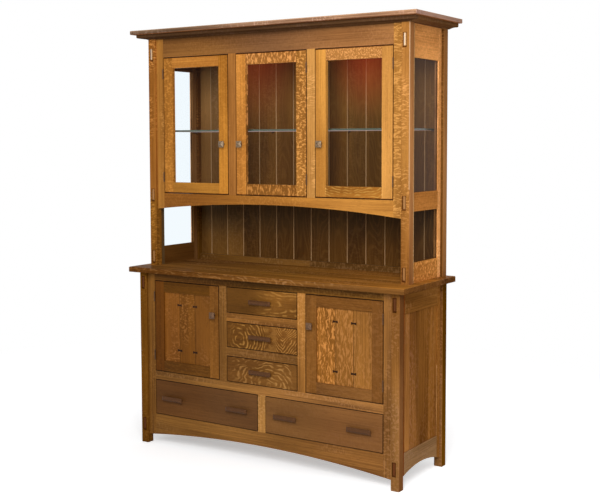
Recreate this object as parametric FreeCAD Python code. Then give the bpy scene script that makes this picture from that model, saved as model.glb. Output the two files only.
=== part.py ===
import FreeCAD, Part
import os

os.makedirs("parts", exist_ok=True)

# A two-part oak hutch: a base with doors and drawers, a counter, an open niche and a glazed upper case.
# All lengths are in millimetres. X runs to the right, Y to the back, Z up.
# The origin is on the floor, under the middle of the whole piece.

# Overall sizes
overall_height = 2134.0
counter_height = 922.0
counter_thickness = 27.0
counter_depth = 532.0
counter_front_overhang = 38.0
counter_side_overhang = 40.0
counter_back_overhang = 9.0
counter_top_radius = 5.0
counter_low_radius = 2.0
case_width = 1514.0
upper_front_setback = 86.5
upper_back_setback = 5.5
crown_overhang = 65.0
crown_thickness = 20.0
crown_radius = 3.0

# Posts and the face frame that stands back from their faces
post_width = 43.0
post_radius = 4.0
frame_setback_depth = 14.0
frame_thickness = 22.0
stile_width = 44.5
bay_count = 3

# Heights of the base front, from the floor up
base_arch_end_height = 44.0
base_arch_height = 43.5
base_arched_rail_top_height = 157.0
wide_drawer_opening_height = 183.0
middle_rail_height = 43.0
base_top_rail_height = 40.0
drawer_rail_height = 42.0
narrow_drawer_count = 3

# Heights of the upper front, from the counter up
niche_height = 295.0
upper_arch_height = 40.0
upper_arched_rail_height = 82.0
frieze_height = 117.0

# Side frames, stood back from the posts like the face frame
side_frame_thickness = 20.0
side_stile_width = 30.0
upper_side_low_rail_height = 93.0
upper_side_middle_rail_height = 86.0
upper_side_middle_rail_offset = 51.5
upper_side_top_rail_height = 175.0
base_side_top_rail_height = 105.0
base_side_arch_height = 34.0
side_panel_thickness = 10.0
side_glass_thickness = 4.0
side_groove_depth = 8.0

# Through-tenons of the side rails, which stand proud of the front posts
tenon_thickness = 11.5
tenon_height = 57.0
tenon_proud_length = 5.0
tenon_bevel_width = 3.0
blind_tenon_length = 22.0

# Crown moulding, lapped over the posts and seated on the frame behind them
moulding_depth = 46.0
moulding_front_share = 0.83
moulding_lip_height = 10.0
moulding_nose_radius = 7.0
moulding_height = 24.0
moulding_sag_depth = 2.5
moulding_back_gap = 1.0
quarter_share = 0.7071

# Back of the upper case: tongued boards with a bevel at each joint
back_inset = 2.0
back_board_thickness = 12.0
back_board_width = 107.5
back_bevel_width = 2.5
back_tongue_length = 5.0
back_tongue_thickness = 4.0
back_rail_height = 30.0
back_rail_thickness = 14.0

# Inside boards
floor_thickness = 20.0
glass_shelf_height_share = 0.4542
glass_shelf_thickness = 8.0
glass_shelf_margin = 4.0
dust_panel_thickness = 18.0
partition_thickness = 18.0
base_back_thickness = 9.0
base_back_inset = 6.0
base_shelf_height_share = 0.481
base_shelf_thickness = 18.0
base_shelf_setback = 10.0
shelf_end_gap = 1.5
pin_radius = 3.0
pin_length = 28.0
pin_seat_depth = 8.0
pin_inset = 15.0

# Puck lights under the crown board
light_radius = 34.0
light_height = 12.0
light_place_share = 0.78
light_lens_radius = 26.0
light_lens_depth = 3.0

# Doors
door_gap = 2.5
door_thickness = 20.0
door_stile_width = 58.0
door_rail_width = 55.0
door_edge_radius = 1.2
door_tenon_length = 40.0
door_tenon_thickness = 8.0
door_tenon_shoulder_width = 12.0
rebate_width = 8.0
rebate_front_depth = 7.0
pane_thickness = 4.0
pane_gap = 0.5
panel_recess_depth = 7.0
panel_thickness = 10.0
panel_groove_depth = 8.0
panel_board_count = 3
panel_joint_radius = 1.0
key_length = 28.0
key_end_width = 13.0
key_waist_width = 6.0
key_depth = 5.0
key_proud_height = 0.6
key_inset = 62.0

# Hinges
hinge_height = 50.0
hinge_inset = 57.0
leaf_thickness = 1.5
leaf_width = 18.0
barrel_radius = 3.2
barrel_clearance = 0.3
hinge_pin_radius = 1.7
hinge_bore_gap = 0.08
knuckle_count = 3
knuckle_gap = 0.3

# Catches at the free edge of each door
catch_width = 36.0
catch_height = 22.0
catch_depth = 14.0
catch_drop_height = 9.0
catch_offset = 45.0
strike_thickness = 1.5
strike_height = 5.0

# Knobs: a square head in two bevels on a round stem
knob_width = 30.0
knob_neck_width = 20.0
knob_tip_width = 9.0
knob_stem_radius = 6.5
knob_stem_length = 14.0
knob_back_depth = 5.0
knob_band_depth = 3.0
knob_front_depth = 7.0
glass_knob_height = 253.0
cupboard_knob_offset = 149.0

# Bar pulls: a hipped bar on two square posts
pull_length = 128.0
pull_height = 22.0
pull_ridge_length = 104.0
pull_ridge_height = 8.0
pull_post_width = 10.0
pull_post_spacing = 88.0
pull_post_length = 15.0
pull_band_depth = 3.0
pull_hip_depth = 6.0
wide_pull_spacing = 406.0

# Drawers
drawer_front_thickness = 20.0
drawer_edge_radius = 1.2
drawer_board_thickness = 12.0
drawer_back_space_depth = 36.0
drawer_bottom_thickness = 6.0
drawer_bottom_height = 10.0
drawer_groove_depth = 6.0
drawer_side_gap = 2.0
drawer_run_gap = 0.3
drawer_top_gap = 20.0
wide_drawer_top_gap = 15.0
tail_pitch_height = 36.0
tail_width_share = 0.62
tail_flare_height = 2.0

# Runners, side guides and kickers
runner_width = 24.0
runner_height = 20.0
guide_gap = 1.0
guide_height = 14.0
wide_guide_width = 20.0
kicker_gap = 1.0
kicker_height = 18.0

# One overrun for every cut, and the tolerance that tells two places apart
overrun = 5.0
near = 0.01

# Places worked out from the sizes above
half_case = case_width / 2
inner_half = half_case - post_width
counter_front = -counter_depth / 2
counter_back = counter_depth / 2
counter_half = half_case + counter_side_overhang
counter_under = counter_height - counter_thickness
crown_under = overall_height - crown_thickness
base_front = counter_front + counter_front_overhang
base_back = counter_back - counter_back_overhang
base_face = base_front + frame_setback_depth
base_frame_back = base_face + frame_thickness
upper_front = base_front + upper_front_setback
upper_back = base_back - upper_back_setback
upper_face = upper_front + frame_setback_depth
upper_frame_back = upper_face + frame_thickness
opening_width = (2 * inner_half - (bay_count + 1) * stile_width) / bay_count
bay_pitch = opening_width + stile_width
half_opening = opening_width / 2
frame_inner_half = inner_half - stile_width
wide_drawer_low = base_arched_rail_top_height
middle_rail_low = wide_drawer_low + wide_drawer_opening_height
cupboard_low = middle_rail_low + middle_rail_height
cupboard_high = counter_under - base_top_rail_height
narrow_drawer_opening = (
    cupboard_high - cupboard_low - (narrow_drawer_count - 1) * drawer_rail_height
) / narrow_drawer_count
upper_arch_end = counter_height + niche_height
glass_low = upper_arch_end + upper_arched_rail_height
glass_high = crown_under - frieze_height
glass_shelf_height = glass_low + (glass_high - glass_low) * glass_shelf_height_share
base_shelf_height = cupboard_low + (cupboard_high - cupboard_low) * base_shelf_height_share
side_outer = half_case - frame_setback_depth
side_inner = side_outer - side_frame_thickness
side_middle = (side_outer + side_inner) / 2
base_panel_back = base_back - base_back_inset
base_panel_front = base_panel_back - base_back_thickness
boards_back = upper_back - back_inset
boards_front = boards_back - back_board_thickness
moulding_bottom = crown_under - moulding_height
origin = FreeCAD.Vector(0, 0, 0)
x_axis = FreeCAD.Vector(1, 0, 0)
y_axis = FreeCAD.Vector(0, 1, 0)
z_axis = FreeCAD.Vector(0, 0, 1)


def block(x, y, z):
    """A box between two ends along each axis."""
    corner = FreeCAD.Vector(min(x), min(y), min(z))
    return Part.makeBox(max(x) - min(x), max(y) - min(y), max(z) - min(z), corner)


def about(middle, size):
    """The two ends of a size centred on a place."""
    return (middle - size / 2, middle + size / 2)


def grown(ends, amount):
    """Two ends moved apart by an amount each."""
    return (min(ends) - amount, max(ends) + amount)


def mirrored(shapes):
    """Copies of shapes on the other side of the middle plane."""
    return [shape.mirror(origin, x_axis) for shape in shapes]


def cut_all(shape, tools):
    """A shape with every tool cut from it."""
    return shape.cut(Part.Compound(tools)) if tools else shape


def runs_along(edge, axis):
    """True for a straight edge parallel to an axis."""
    if len(edge.Vertexes) < 2:
        return False
    line = edge.Vertexes[1].Point.sub(edge.Vertexes[0].Point)
    return line.cross(axis).Length < near


def ease(shape, radius, chosen):
    """A shape with the chosen edges rounded."""
    edges = [edge for edge in shape.Edges if chosen(edge)]
    return shape.makeFillet(radius, edges)


def at_front(edge, shape):
    """True for an edge that lies in the front plane of a shape."""
    return all(abs(vertex.Y - shape.BoundBox.YMin) < near for vertex in edge.Vertexes)


def ease_front(shape, radius, axis=None):
    """A board with its front edges rounded, all of them or those along one axis."""
    def chosen(edge):
        return at_front(edge, shape) and (axis is None or runs_along(edge, axis))
    return ease(shape, radius, chosen)


def bevel_front(shape, width):
    """A board with its front edges bevelled."""
    return shape.makeChamfer(width, [edge for edge in shape.Edges if at_front(edge, shape)])


def outline(points):
    """A flat face with straight sides through the points."""
    return Part.Face(Part.makePolygon(points + points[:1]))


def arch_below(half_span, end, rise, low, at):
    """The face under a round arch; at(s, z) places a point of it, s being measured from the middle."""
    feet = [at(-half_span, end), at(half_span, end)]
    arc = Part.Arc(feet[0], at(0, end + rise), feet[1]).toShape()
    sides = Part.makePolygon([feet[1], at(half_span, low), at(-half_span, low), feet[0]])
    return Part.Face(Part.Wire([arc] + sides.Edges))


def frustum(x, y, z, far_x, far_z):
    """A solid that runs from one rectangle at y[0] to another, given by far_x and far_z, at y[1]."""
    near_face = Part.makePolygon([
        FreeCAD.Vector(x[0], y[0], z[0]), FreeCAD.Vector(x[1], y[0], z[0]),
        FreeCAD.Vector(x[1], y[0], z[1]), FreeCAD.Vector(x[0], y[0], z[1]),
        FreeCAD.Vector(x[0], y[0], z[0])])
    far_face = Part.makePolygon([
        FreeCAD.Vector(far_x[0], y[1], far_z[0]), FreeCAD.Vector(far_x[1], y[1], far_z[0]),
        FreeCAD.Vector(far_x[1], y[1], far_z[1]), FreeCAD.Vector(far_x[0], y[1], far_z[1]),
        FreeCAD.Vector(far_x[0], y[1], far_z[0])])
    return Part.makeLoft([near_face, far_face], True, True)


def keep(name, shapes):
    """Write one sub-part, which may be several separate solids."""
    shape = shapes[0] if len(shapes) == 1 else Part.Compound(shapes)
    shape.exportStep("parts/" + name + ".step")


# Posts: four under the counter and four on it, with rounded corners

def post(x, y, z):
    shape = block(x, y, z)
    return ease(shape, post_radius, lambda edge: runs_along(edge, z_axis))


post_x = (inner_half, half_case)
base_post_z = (0, counter_under)
upper_post_z = (counter_height, crown_under)
base_front_post = post(post_x, (base_front, base_front + post_width), base_post_z)
base_rear_post = post(post_x, (base_back - post_width, base_back), base_post_z)
upper_front_post = post(post_x, (upper_front, upper_front + post_width), upper_post_z)
upper_rear_post = post(post_x, (upper_back - post_width, upper_back), upper_post_z)


# Side frames: two stiles, with rails whose front tenons pass through the stile and the post

def side_frame(front, back, z, rails, arch):
    """Stiles and rails of the right side; rails holds the low, the high and the tenon height of each."""
    stile_fronts = (front + post_width, back - post_width - side_stile_width)
    x = (side_inner, side_outer)
    stiles = [block(x, (start, start + side_stile_width), z) for start in stile_fronts]
    rail_y = (stile_fronts[0] + side_stile_width, stile_fronts[1])
    members = []
    tenons = []
    for low, high, tenon_middle in rails:
        tenon_x = about(side_middle, tenon_thickness)
        tenon_z = about(tenon_middle, tenon_height)
        through = block(tenon_x, (front - tenon_proud_length, rail_y[0]), tenon_z)
        through = bevel_front(through, tenon_bevel_width)
        blind = block(tenon_x, (rail_y[1], rail_y[1] + blind_tenon_length), tenon_z)
        members.append(block(x, rail_y, (low, high)).fuse([through, blind]).removeSplitter())
        tenons += [through, blind]
    stiles = [cut_all(stile, tenons) for stile in stiles]
    if arch:
        middle_y = (front + back) / 2
        half_span = (back - front) / 2 - post_width

        def at(s, height):
            return FreeCAD.Vector(side_inner - overrun, middle_y + s, height)

        face = arch_below(half_span, z[0], arch, z[0] - overrun, at)
        hollow = face.extrude(x_axis * (side_frame_thickness + 2 * overrun))
        stiles = [stile.cut(hollow) for stile in stiles]
        members = [member.cut(hollow) for member in members]
    return stiles, members, tenons, rail_y


def side_rail(low, high, shown_high):
    """The low and the high of a rail, and the middle of what shows of it, where its tenons are."""
    return (low, high, (low + shown_high) / 2)


upper_side_middle_low = glass_low - upper_side_middle_rail_offset
upper_side_middle_high = upper_side_middle_low + upper_side_middle_rail_height
upper_side_low_high = counter_height + upper_side_low_rail_height
base_side_rails = [
    side_rail(base_arch_end_height, base_arched_rail_top_height, base_arched_rail_top_height),
    side_rail(counter_under - base_side_top_rail_height, counter_under, counter_under)]
upper_side_rails = [
    side_rail(counter_height, upper_side_low_high, upper_side_low_high),
    side_rail(upper_side_middle_low, upper_side_middle_high, upper_side_middle_high),
    side_rail(crown_under - upper_side_top_rail_height, crown_under, moulding_bottom)]
base_side_stiles, base_side_members, base_tenons, base_rail_y = side_frame(
    base_front, base_back, (base_arch_end_height, counter_under), base_side_rails, base_side_arch_height)
upper_side_stiles, upper_side_members, upper_tenons, upper_rail_y = side_frame(
    upper_front, upper_back, (counter_height, crown_under), upper_side_rails, None)
base_front_post = cut_all(base_front_post, base_tenons)
upper_front_post = cut_all(upper_front_post, upper_tenons)


def side_infill(rail_y, low, high, thickness):
    """A pane or panel let into grooves between two rails and the stiles."""
    return block(
        about(side_middle, thickness), grown(rail_y, side_groove_depth),
        grown((low, high), side_groove_depth))


base_side_panel = side_infill(
    base_rail_y, base_side_rails[0][1], base_side_rails[1][0], side_panel_thickness)
upper_panes = [
    side_infill(upper_rail_y, lower[1], upper[0], side_glass_thickness)
    for lower, upper in zip(upper_side_rails, upper_side_rails[1:])]
base_side_stiles = [cut_all(stile, [base_side_panel]) for stile in base_side_stiles]
base_side_members = [cut_all(member, [base_side_panel]) for member in base_side_members]
upper_side_stiles = [cut_all(stile, upper_panes) for stile in upper_side_stiles]
upper_side_members = [cut_all(member, upper_panes) for member in upper_side_members]


# Hinges: three knuckles on a pin; the outer knuckles and the pin stay with the frame

def hinge_heights(z):
    """The middle height of the upper and the lower hinge of a door."""
    inset = door_gap + hinge_inset + hinge_height / 2
    return (z[0] + inset, z[1] - inset)


def barrel(x, y, z):
    return Part.makeCylinder(barrel_radius, z[1] - z[0], FreeCAD.Vector(x, y, z[0]), z_axis)


def hinge(pin_x, face, height, side):
    """The frame leaf, the pin and the door leaf of a hinge; side is 1 where the frame is on the right."""
    pin_y = face - barrel_radius - barrel_clearance
    length = hinge_height / knuckle_count
    low = height - hinge_height / 2
    leaf_y = (pin_y, face + leaf_width)
    inner = door_gap / 2
    frame_x = (pin_x + side * inner, pin_x + side * (inner + leaf_thickness))
    door_x = (pin_x - side * inner, pin_x - side * (inner + leaf_thickness))
    bore = Part.makeCylinder(
        hinge_pin_radius + hinge_bore_gap, hinge_height + 2 * overrun,
        FreeCAD.Vector(pin_x, pin_y, low - overrun), z_axis)
    frame_parts = []
    door_parts = []
    for number in range(knuckle_count):
        z = (low + number * length, low + (number + 1) * length)
        if number % 2:
            door_parts.append(barrel(pin_x, pin_y, grown(z, -knuckle_gap)))
        else:
            frame_parts.append(barrel(pin_x, pin_y, z))
    middle_z = (low + length, low + 2 * length)
    frame_leaf = block(frame_x, (face, leaf_y[1]), (low, low + hinge_height))
    frame_web = block(frame_x, leaf_y, (low, low + hinge_height))
    frame_web = frame_web.cut(block(frame_x, (leaf_y[0], face), middle_z))
    door_leaf = block(door_x, (face, leaf_y[1]), (low, low + hinge_height))
    door_web = block(door_x, leaf_y, (low, low + hinge_height))
    door_keep = block(door_x, (leaf_y[0], face), (low, low + hinge_height))
    door_keep = door_keep.cut(block(door_x, (leaf_y[0], face), grown(middle_z, -knuckle_gap)))
    door_web = door_web.cut(door_keep)
    frame_side = frame_web.fuse(frame_parts).cut(bore).removeSplitter()
    door_side = door_web.fuse(door_parts).cut(bore).removeSplitter()
    pin = Part.makeCylinder(hinge_pin_radius, hinge_height, FreeCAD.Vector(pin_x, pin_y, low), z_axis)
    return frame_side, pin, door_side, frame_leaf, door_leaf


# Knobs and pulls, seated on the face of a door or drawer

def knob(x, face, z):
    stem = Part.makeCylinder(knob_stem_radius, knob_stem_length, FreeCAD.Vector(x, face, z), y_axis * -1)
    places = [face - knob_stem_length]
    for step in (knob_back_depth, knob_band_depth, knob_front_depth):
        places.append(places[-1] - step)
    sizes = (knob_neck_width, knob_width, knob_width, knob_tip_width)
    head = [
        frustum(
            about(x, sizes[i]), (places[i], places[i + 1]), about(z, sizes[i]),
            about(x, sizes[i + 1]), about(z, sizes[i + 1]))
        for i in range(len(sizes) - 1)]
    return stem.fuse(head).removeSplitter()


def pull(x, face, z):
    bar_back = face - pull_post_length
    bar_front = bar_back - pull_band_depth
    band = block(about(x, pull_length), (bar_front, bar_back), about(z, pull_height))
    hip = frustum(
        about(x, pull_length), (bar_front, bar_front - pull_hip_depth), about(z, pull_height),
        about(x, pull_ridge_length), about(z, pull_ridge_height))
    posts = [
        block(about(place, pull_post_width), (bar_back, face), about(z, pull_post_width))
        for place in about(x, pull_post_spacing)]
    return band.fuse([hip] + posts).removeSplitter()


# Doors: stiles and rails with mortise and tenon joints

def door_members(x, y, z):
    """The four members of a door frame with its joints cut, and the opening inside them."""
    stile_x = [(x[0], x[0] + door_stile_width), (x[1] - door_stile_width, x[1])]
    rail_z = [(z[0], z[0] + door_rail_width), (z[1] - door_rail_width, z[1])]
    opening_x = (stile_x[0][1], stile_x[1][0])
    opening_z = (rail_z[0][1], rail_z[1][0])
    tenon_y = about((y[0] + y[1]) / 2, door_tenon_thickness)
    stiles = [ease_front(block(ends, y, z), door_edge_radius, z_axis) for ends in stile_x]
    rails = []
    tenons = []
    for ends in rail_z:
        tenon = block(
            grown(opening_x, door_tenon_length), tenon_y, grown(ends, -door_tenon_shoulder_width))
        rail = ease_front(block(opening_x, y, ends), door_edge_radius, x_axis)
        rails.append(rail.fuse(tenon).removeSplitter())
        tenons.append(tenon)
    stiles = [cut_all(stile, tenons) for stile in stiles]
    return stiles + rails, opening_x, opening_z


def glazed_door(x, y, z):
    """Frame members with beads, and the pane that the beads hold in the rebate."""
    members, opening_x, opening_z = door_members(x, y, z)
    shoulder = y[0] + rebate_front_depth
    rebate_x = grown(opening_x, rebate_width)
    rebate_z = grown(opening_z, rebate_width)
    rebate = block(rebate_x, (shoulder, y[1] + overrun), rebate_z)
    members = [member.cut(rebate) for member in members]
    pane = block(
        grown(rebate_x, -pane_gap), (shoulder, shoulder + pane_thickness), grown(rebate_z, -pane_gap))
    bead_y = (shoulder + pane_thickness, y[1])
    beads = [block(rebate_x, bead_y, (rebate_z[0], opening_z[0])),
             block(rebate_x, bead_y, (opening_z[1], rebate_z[1])),
             block((rebate_x[0], opening_x[0]), bead_y, opening_z),
             block((opening_x[1], rebate_x[1]), bead_y, opening_z)]
    return members + beads, [pane]


def butterfly(x, y, z):
    """A double-dovetail key across a vertical joint."""
    half = key_length / 2
    end = key_end_width / 2
    waist = key_waist_width / 2
    points = [
        FreeCAD.Vector(x - half, y, z - end), FreeCAD.Vector(x, y, z - waist),
        FreeCAD.Vector(x + half, y, z - end), FreeCAD.Vector(x + half, y, z + end),
        FreeCAD.Vector(x, y, z + waist), FreeCAD.Vector(x - half, y, z + end)]
    return outline(points).extrude(y_axis * key_depth)


def panelled_door(x, y, z):
    """Frame members, the boards of the flat panel in its groove, and the keys across its joints."""
    members, opening_x, opening_z = door_members(x, y, z)
    panel_y = (y[0] + panel_recess_depth, y[0] + panel_recess_depth + panel_thickness)
    groove_x = grown(opening_x, panel_groove_depth)
    groove_z = grown(opening_z, panel_groove_depth)
    groove = block(groove_x, panel_y, groove_z)
    members = [member.cut(groove) for member in members]
    board_width = (opening_x[1] - opening_x[0]) / panel_board_count
    joints = [opening_x[0] + board_width * number for number in range(1, panel_board_count)]
    panel_x = grown(groove_x, -pane_gap)
    panel_z = grown(groove_z, -pane_gap)
    edges = [panel_x[0]] + joints + [panel_x[1]]
    key_y = panel_y[0] - key_proud_height
    key_z = (opening_z[0] + key_inset, opening_z[1] - key_inset)
    keys = [butterfly(joint, key_y, height) for joint in joints for height in key_z]
    boards = []
    for left, right in zip(edges, edges[1:]):
        board = ease_front(block((left, right), panel_y, panel_z), panel_joint_radius, z_axis)
        boards.append(cut_all(board, keys))
    return members, boards, keys


def catch(x, frame_back, height):
    """The fixed catch behind the rail over a door, and its strike plate's height span."""
    body = block(
        about(x, catch_width), (frame_back, frame_back + catch_depth),
        (height - catch_drop_height, height - catch_drop_height + catch_height))
    return body


fixed_leaves = []
fixed_pins = []
catches = []
frame_recesses = []
door_sets = {}


def hang_door(name, bay, z, face, frame_back, hinge_side, glazed, knob_z):
    """Fit one door to its opening; hinge_side is -1 for the left edge and 1 for the right edge."""
    centre = bay * bay_pitch
    opening = about(centre, opening_width)
    x = grown(opening, -door_gap)
    door_z = grown(z, -door_gap)
    y = (face, face + door_thickness)
    pin_x = centre + hinge_side * (half_opening - door_gap / 2)
    free_x = centre - hinge_side * (half_opening - door_gap)
    hardware = [knob(free_x + hinge_side * door_stile_width / 2, face, knob_z)]
    leaves = []
    for height in hinge_heights(z):
        frame_side, pin, door_side, frame_leaf, door_leaf = hinge(pin_x, face, height, hinge_side)
        fixed_leaves.append(frame_side)
        fixed_pins.append(pin)
        frame_recesses.append(frame_leaf)
        leaves.append(door_leaf)
        hardware.append(door_side)
    catch_x = free_x + hinge_side * catch_offset
    catches.append(catch(catch_x, frame_back, z[1]))
    strike_z = (z[1] - catch_drop_height, z[1] - catch_drop_height + strike_height)
    hardware.append(block(about(catch_x, catch_width), (y[1], y[1] + strike_thickness), strike_z))
    if glazed:
        members, panes = glazed_door(x, y, door_z)
        door_sets[name] = {"frame": members, "pane": panes}
    else:
        members, boards, keys = panelled_door(x, y, door_z)
        door_sets[name] = {"frame": members, "panel": boards, "keys": keys}
    door_sets[name]["frame"] = [cut_all(member, leaves) for member in members]
    door_sets[name]["hardware"] = hardware


glass_z = (glass_low, glass_high)
cupboard_z = (cupboard_low, cupboard_high)
glass_knob_z = glass_low + glass_knob_height
cupboard_knob_z = cupboard_high - cupboard_knob_offset
for name, bay, hinge_side in (
        ("left_glass_door", -1, -1), ("middle_glass_door", 0, 1), ("right_glass_door", 1, 1)):
    hang_door(name, bay, glass_z, upper_face, upper_frame_back, hinge_side, True, glass_knob_z)
for name, bay in (("left_cupboard_door", -1), ("right_cupboard_door", 1)):
    hang_door(name, bay, cupboard_z, base_face, base_frame_back, bay, False, cupboard_knob_z)


# Drawers: a slab front on a dovetailed box that runs on the rail and its runners

drawer_end = base_panel_front - drawer_back_space_depth


def tails(x, baseline, end, z):
    """The tails on one end of a drawer side, wider at the end than at the baseline."""
    count = int((z[1] - z[0]) // tail_pitch_height)
    pitch = (z[1] - z[0]) / count
    half = pitch * tail_width_share / 2
    shapes = []
    for number in range(count):
        middle = z[0] + (number + 1 / 2) * pitch
        points = [
            FreeCAD.Vector(x[0], baseline, middle - half + tail_flare_height),
            FreeCAD.Vector(x[0], end, middle - half),
            FreeCAD.Vector(x[0], end, middle + half),
            FreeCAD.Vector(x[0], baseline, middle + half - tail_flare_height)]
        shapes.append(outline(points).extrude(x_axis * (x[1] - x[0])))
    return shapes


def drawer(x, z, top_gap, pull_places):
    """The front, the five boards of the box and the pulls of a drawer in the opening x by z."""
    front_y = (base_face, base_face + drawer_front_thickness)
    front = block(grown(x, -door_gap), front_y, grown(z, -door_gap))
    front = ease_front(front, drawer_edge_radius)
    box_x = grown(x, -drawer_side_gap)
    box_z = (z[0] + drawer_run_gap, z[1] - top_gap)
    box_y = (front_y[1], drawer_end)
    end_y = [(box_y[0], box_y[0] + drawer_board_thickness), (box_y[1] - drawer_board_thickness, box_y[1])]
    bottom = block(
        grown(box_x, drawer_groove_depth - drawer_board_thickness),
        grown(box_y, drawer_groove_depth - drawer_board_thickness),
        (box_z[0] + drawer_bottom_height, box_z[0] + drawer_bottom_height + drawer_bottom_thickness))
    sides = []
    all_tails = []
    for side_x in ((box_x[0], box_x[0] + drawer_board_thickness), (box_x[1] - drawer_board_thickness, box_x[1])):
        side = block(side_x, (end_y[0][1], end_y[1][0]), box_z)
        fingers = tails(side_x, end_y[0][1], end_y[0][0], box_z)
        fingers += tails(side_x, end_y[1][0], end_y[1][1], box_z)
        sides.append(side.fuse(fingers).removeSplitter())
        all_tails += fingers
    ends = [cut_all(block(box_x, y, box_z), all_tails) for y in end_y]
    boards = [board.cut(bottom) for board in sides + ends] + [bottom]
    centre = (z[0] + z[1]) / 2
    pulls = [pull(place, base_face, centre) for place in pull_places]
    return front, boards, pulls


def narrow_opening(number):
    """The height span of a drawer in the middle bay, counted from the bottom."""
    low = cupboard_low + number * (narrow_drawer_opening + drawer_rail_height)
    return (low, low + narrow_drawer_opening)


middle_bay = about(0, opening_width)
drawer_sets = {}
for number, name in enumerate(("lower_drawer", "middle_drawer", "top_drawer")):
    drawer_sets[name] = drawer(middle_bay, narrow_opening(number), drawer_top_gap, [0])
wide_z = (wide_drawer_low, middle_rail_low)
wide_width = frame_inner_half - stile_width / 2
wide_centre = frame_inner_half - wide_width / 2
for name, side in (("bottom_left_drawer", -1), ("bottom_right_drawer", 1)):
    centre = side * wide_centre
    places = about(centre, wide_pull_spacing)
    drawer_sets[name] = drawer(about(centre, wide_width), wide_z, wide_drawer_top_gap, places)


# Base front: rails, arched rail and stiles, with recesses for the hinge leaves

def arch_hollow(face, thickness, end, rise, low):
    def at(s, height):
        return FreeCAD.Vector(s, face - overrun, height)
    return arch_below(inner_half, end, rise, low, at).extrude(y_axis * (thickness + 2 * overrun))


base_frame_y = (base_face, base_frame_back)
upper_frame_y = (upper_face, upper_frame_back)
frame_x = (-frame_inner_half, frame_inner_half)
base_hollow = arch_hollow(
    base_face, frame_thickness, base_arch_end_height, base_arch_height, base_arch_end_height - overrun)
upper_hollow = arch_hollow(
    upper_face, frame_thickness, upper_arch_end, upper_arch_height, upper_arch_end - overrun)
base_arched_rail = block(frame_x, base_frame_y, (base_arch_end_height, base_arched_rail_top_height)).cut(base_hollow)
upper_arched_rail = block(frame_x, upper_frame_y, (upper_arch_end, glass_low)).cut(upper_hollow)
frieze_rail = block(frame_x, upper_frame_y, (glass_high, crown_under))
base_rails = [
    block(frame_x, base_frame_y, (cupboard_high, counter_under)),
    block(frame_x, base_frame_y, (middle_rail_low, cupboard_low))]
for number in range(1, narrow_drawer_count):
    rail_low = narrow_opening(number)[0] - drawer_rail_height
    base_rails.append(block(middle_bay, base_frame_y, (rail_low, rail_low + drawer_rail_height)))
outer_stile_x = (frame_inner_half, inner_half)
mullion_x = (half_opening, half_opening + stile_width)
base_stiles = [
    block(outer_stile_x, base_frame_y, (base_arch_end_height, counter_under)).cut(base_hollow),
    block(mullion_x, base_frame_y, (cupboard_low, cupboard_high))]
base_stiles += mirrored(base_stiles)
base_stiles.append(block(about(0, stile_width), base_frame_y, (wide_drawer_low, middle_rail_low)))
upper_stiles = [
    block(outer_stile_x, upper_frame_y, (upper_arch_end, crown_under)).cut(upper_hollow),
    block(mullion_x, upper_frame_y, (glass_low, glass_high))]
upper_stiles += mirrored(upper_stiles)
base_stiles = [cut_all(stile, frame_recesses) for stile in base_stiles]


# Inside boards of the base

posts_in_base = [base_front_post, base_rear_post]
posts_in_base += mirrored(posts_in_base)
posts_in_upper = [upper_front_post, upper_rear_post]
posts_in_upper += mirrored(posts_in_upper)
inside_x = (-side_inner, side_inner)
inside_y = (base_frame_back, base_panel_front)


def dust_panel(top):
    return cut_all(block(inside_x, inside_y, (top - dust_panel_thickness, top)), posts_in_base)


dust_panels = [dust_panel(wide_drawer_low), dust_panel(cupboard_low)]
base_back_panel = block(
    (-inner_half, inner_half), (base_panel_front, base_panel_back),
    (base_arched_rail_top_height - dust_panel_thickness, counter_under))
partition_centre = (mullion_x[0] + mullion_x[1]) / 2
partition_x = about(partition_centre, partition_thickness)
partitions = [block(partition_x, inside_y, (cupboard_low, counter_under))]
partitions += mirrored(partitions)
divider_x = about(0, partition_thickness)
partitions.append(block(divider_x, inside_y, (wide_drawer_low, cupboard_low - dust_panel_thickness)))


# Runners, guides and kickers of the drawers

run_y = (base_frame_back, drawer_end)
narrow_runner_x = (partition_x[0] - runner_width, partition_x[0])
narrow_guide_x = (half_opening - drawer_side_gap + guide_gap, partition_x[0])
runners = []
for number in range(narrow_drawer_count):
    low = narrow_opening(number)[0]
    guide = block(narrow_guide_x, run_y, (low, low + guide_height))
    if number:
        ledge = block(narrow_runner_x, run_y, (low - runner_height, low))
        guide = guide.fuse(ledge).removeSplitter()
    runners.append(guide)
box_top = narrow_opening(narrow_drawer_count - 1)[1] - drawer_top_gap
kicker_low = box_top + kicker_gap
runners.append(block(narrow_runner_x, run_y, (kicker_low, kicker_low + kicker_height)))
wide_guide_z = (wide_drawer_low, wide_drawer_low + guide_height)
outer_guide_start = frame_inner_half - drawer_side_gap + guide_gap
runners.append(block((outer_guide_start, outer_guide_start + wide_guide_width), run_y, wide_guide_z))
inner_guide_end = stile_width / 2 + drawer_side_gap - guide_gap
runners.append(block((divider_x[1], inner_guide_end), run_y, wide_guide_z))
wide_kicker_z = (middle_rail_low - wide_drawer_top_gap + kicker_gap, cupboard_low - dust_panel_thickness)
runners.append(block((outer_guide_start - runner_width, outer_guide_start), run_y, wide_kicker_z))
runners += mirrored(runners)


# Shelves and their pins

def pin_pair(x, inward, y, z):
    """A peg let into a wall at x, pointing inward, under a shelf whose underside is at z."""
    start = FreeCAD.Vector(x - inward * pin_seat_depth, y, z - pin_radius)
    return Part.makeCylinder(pin_radius, pin_length, start, x_axis * inward)


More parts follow.
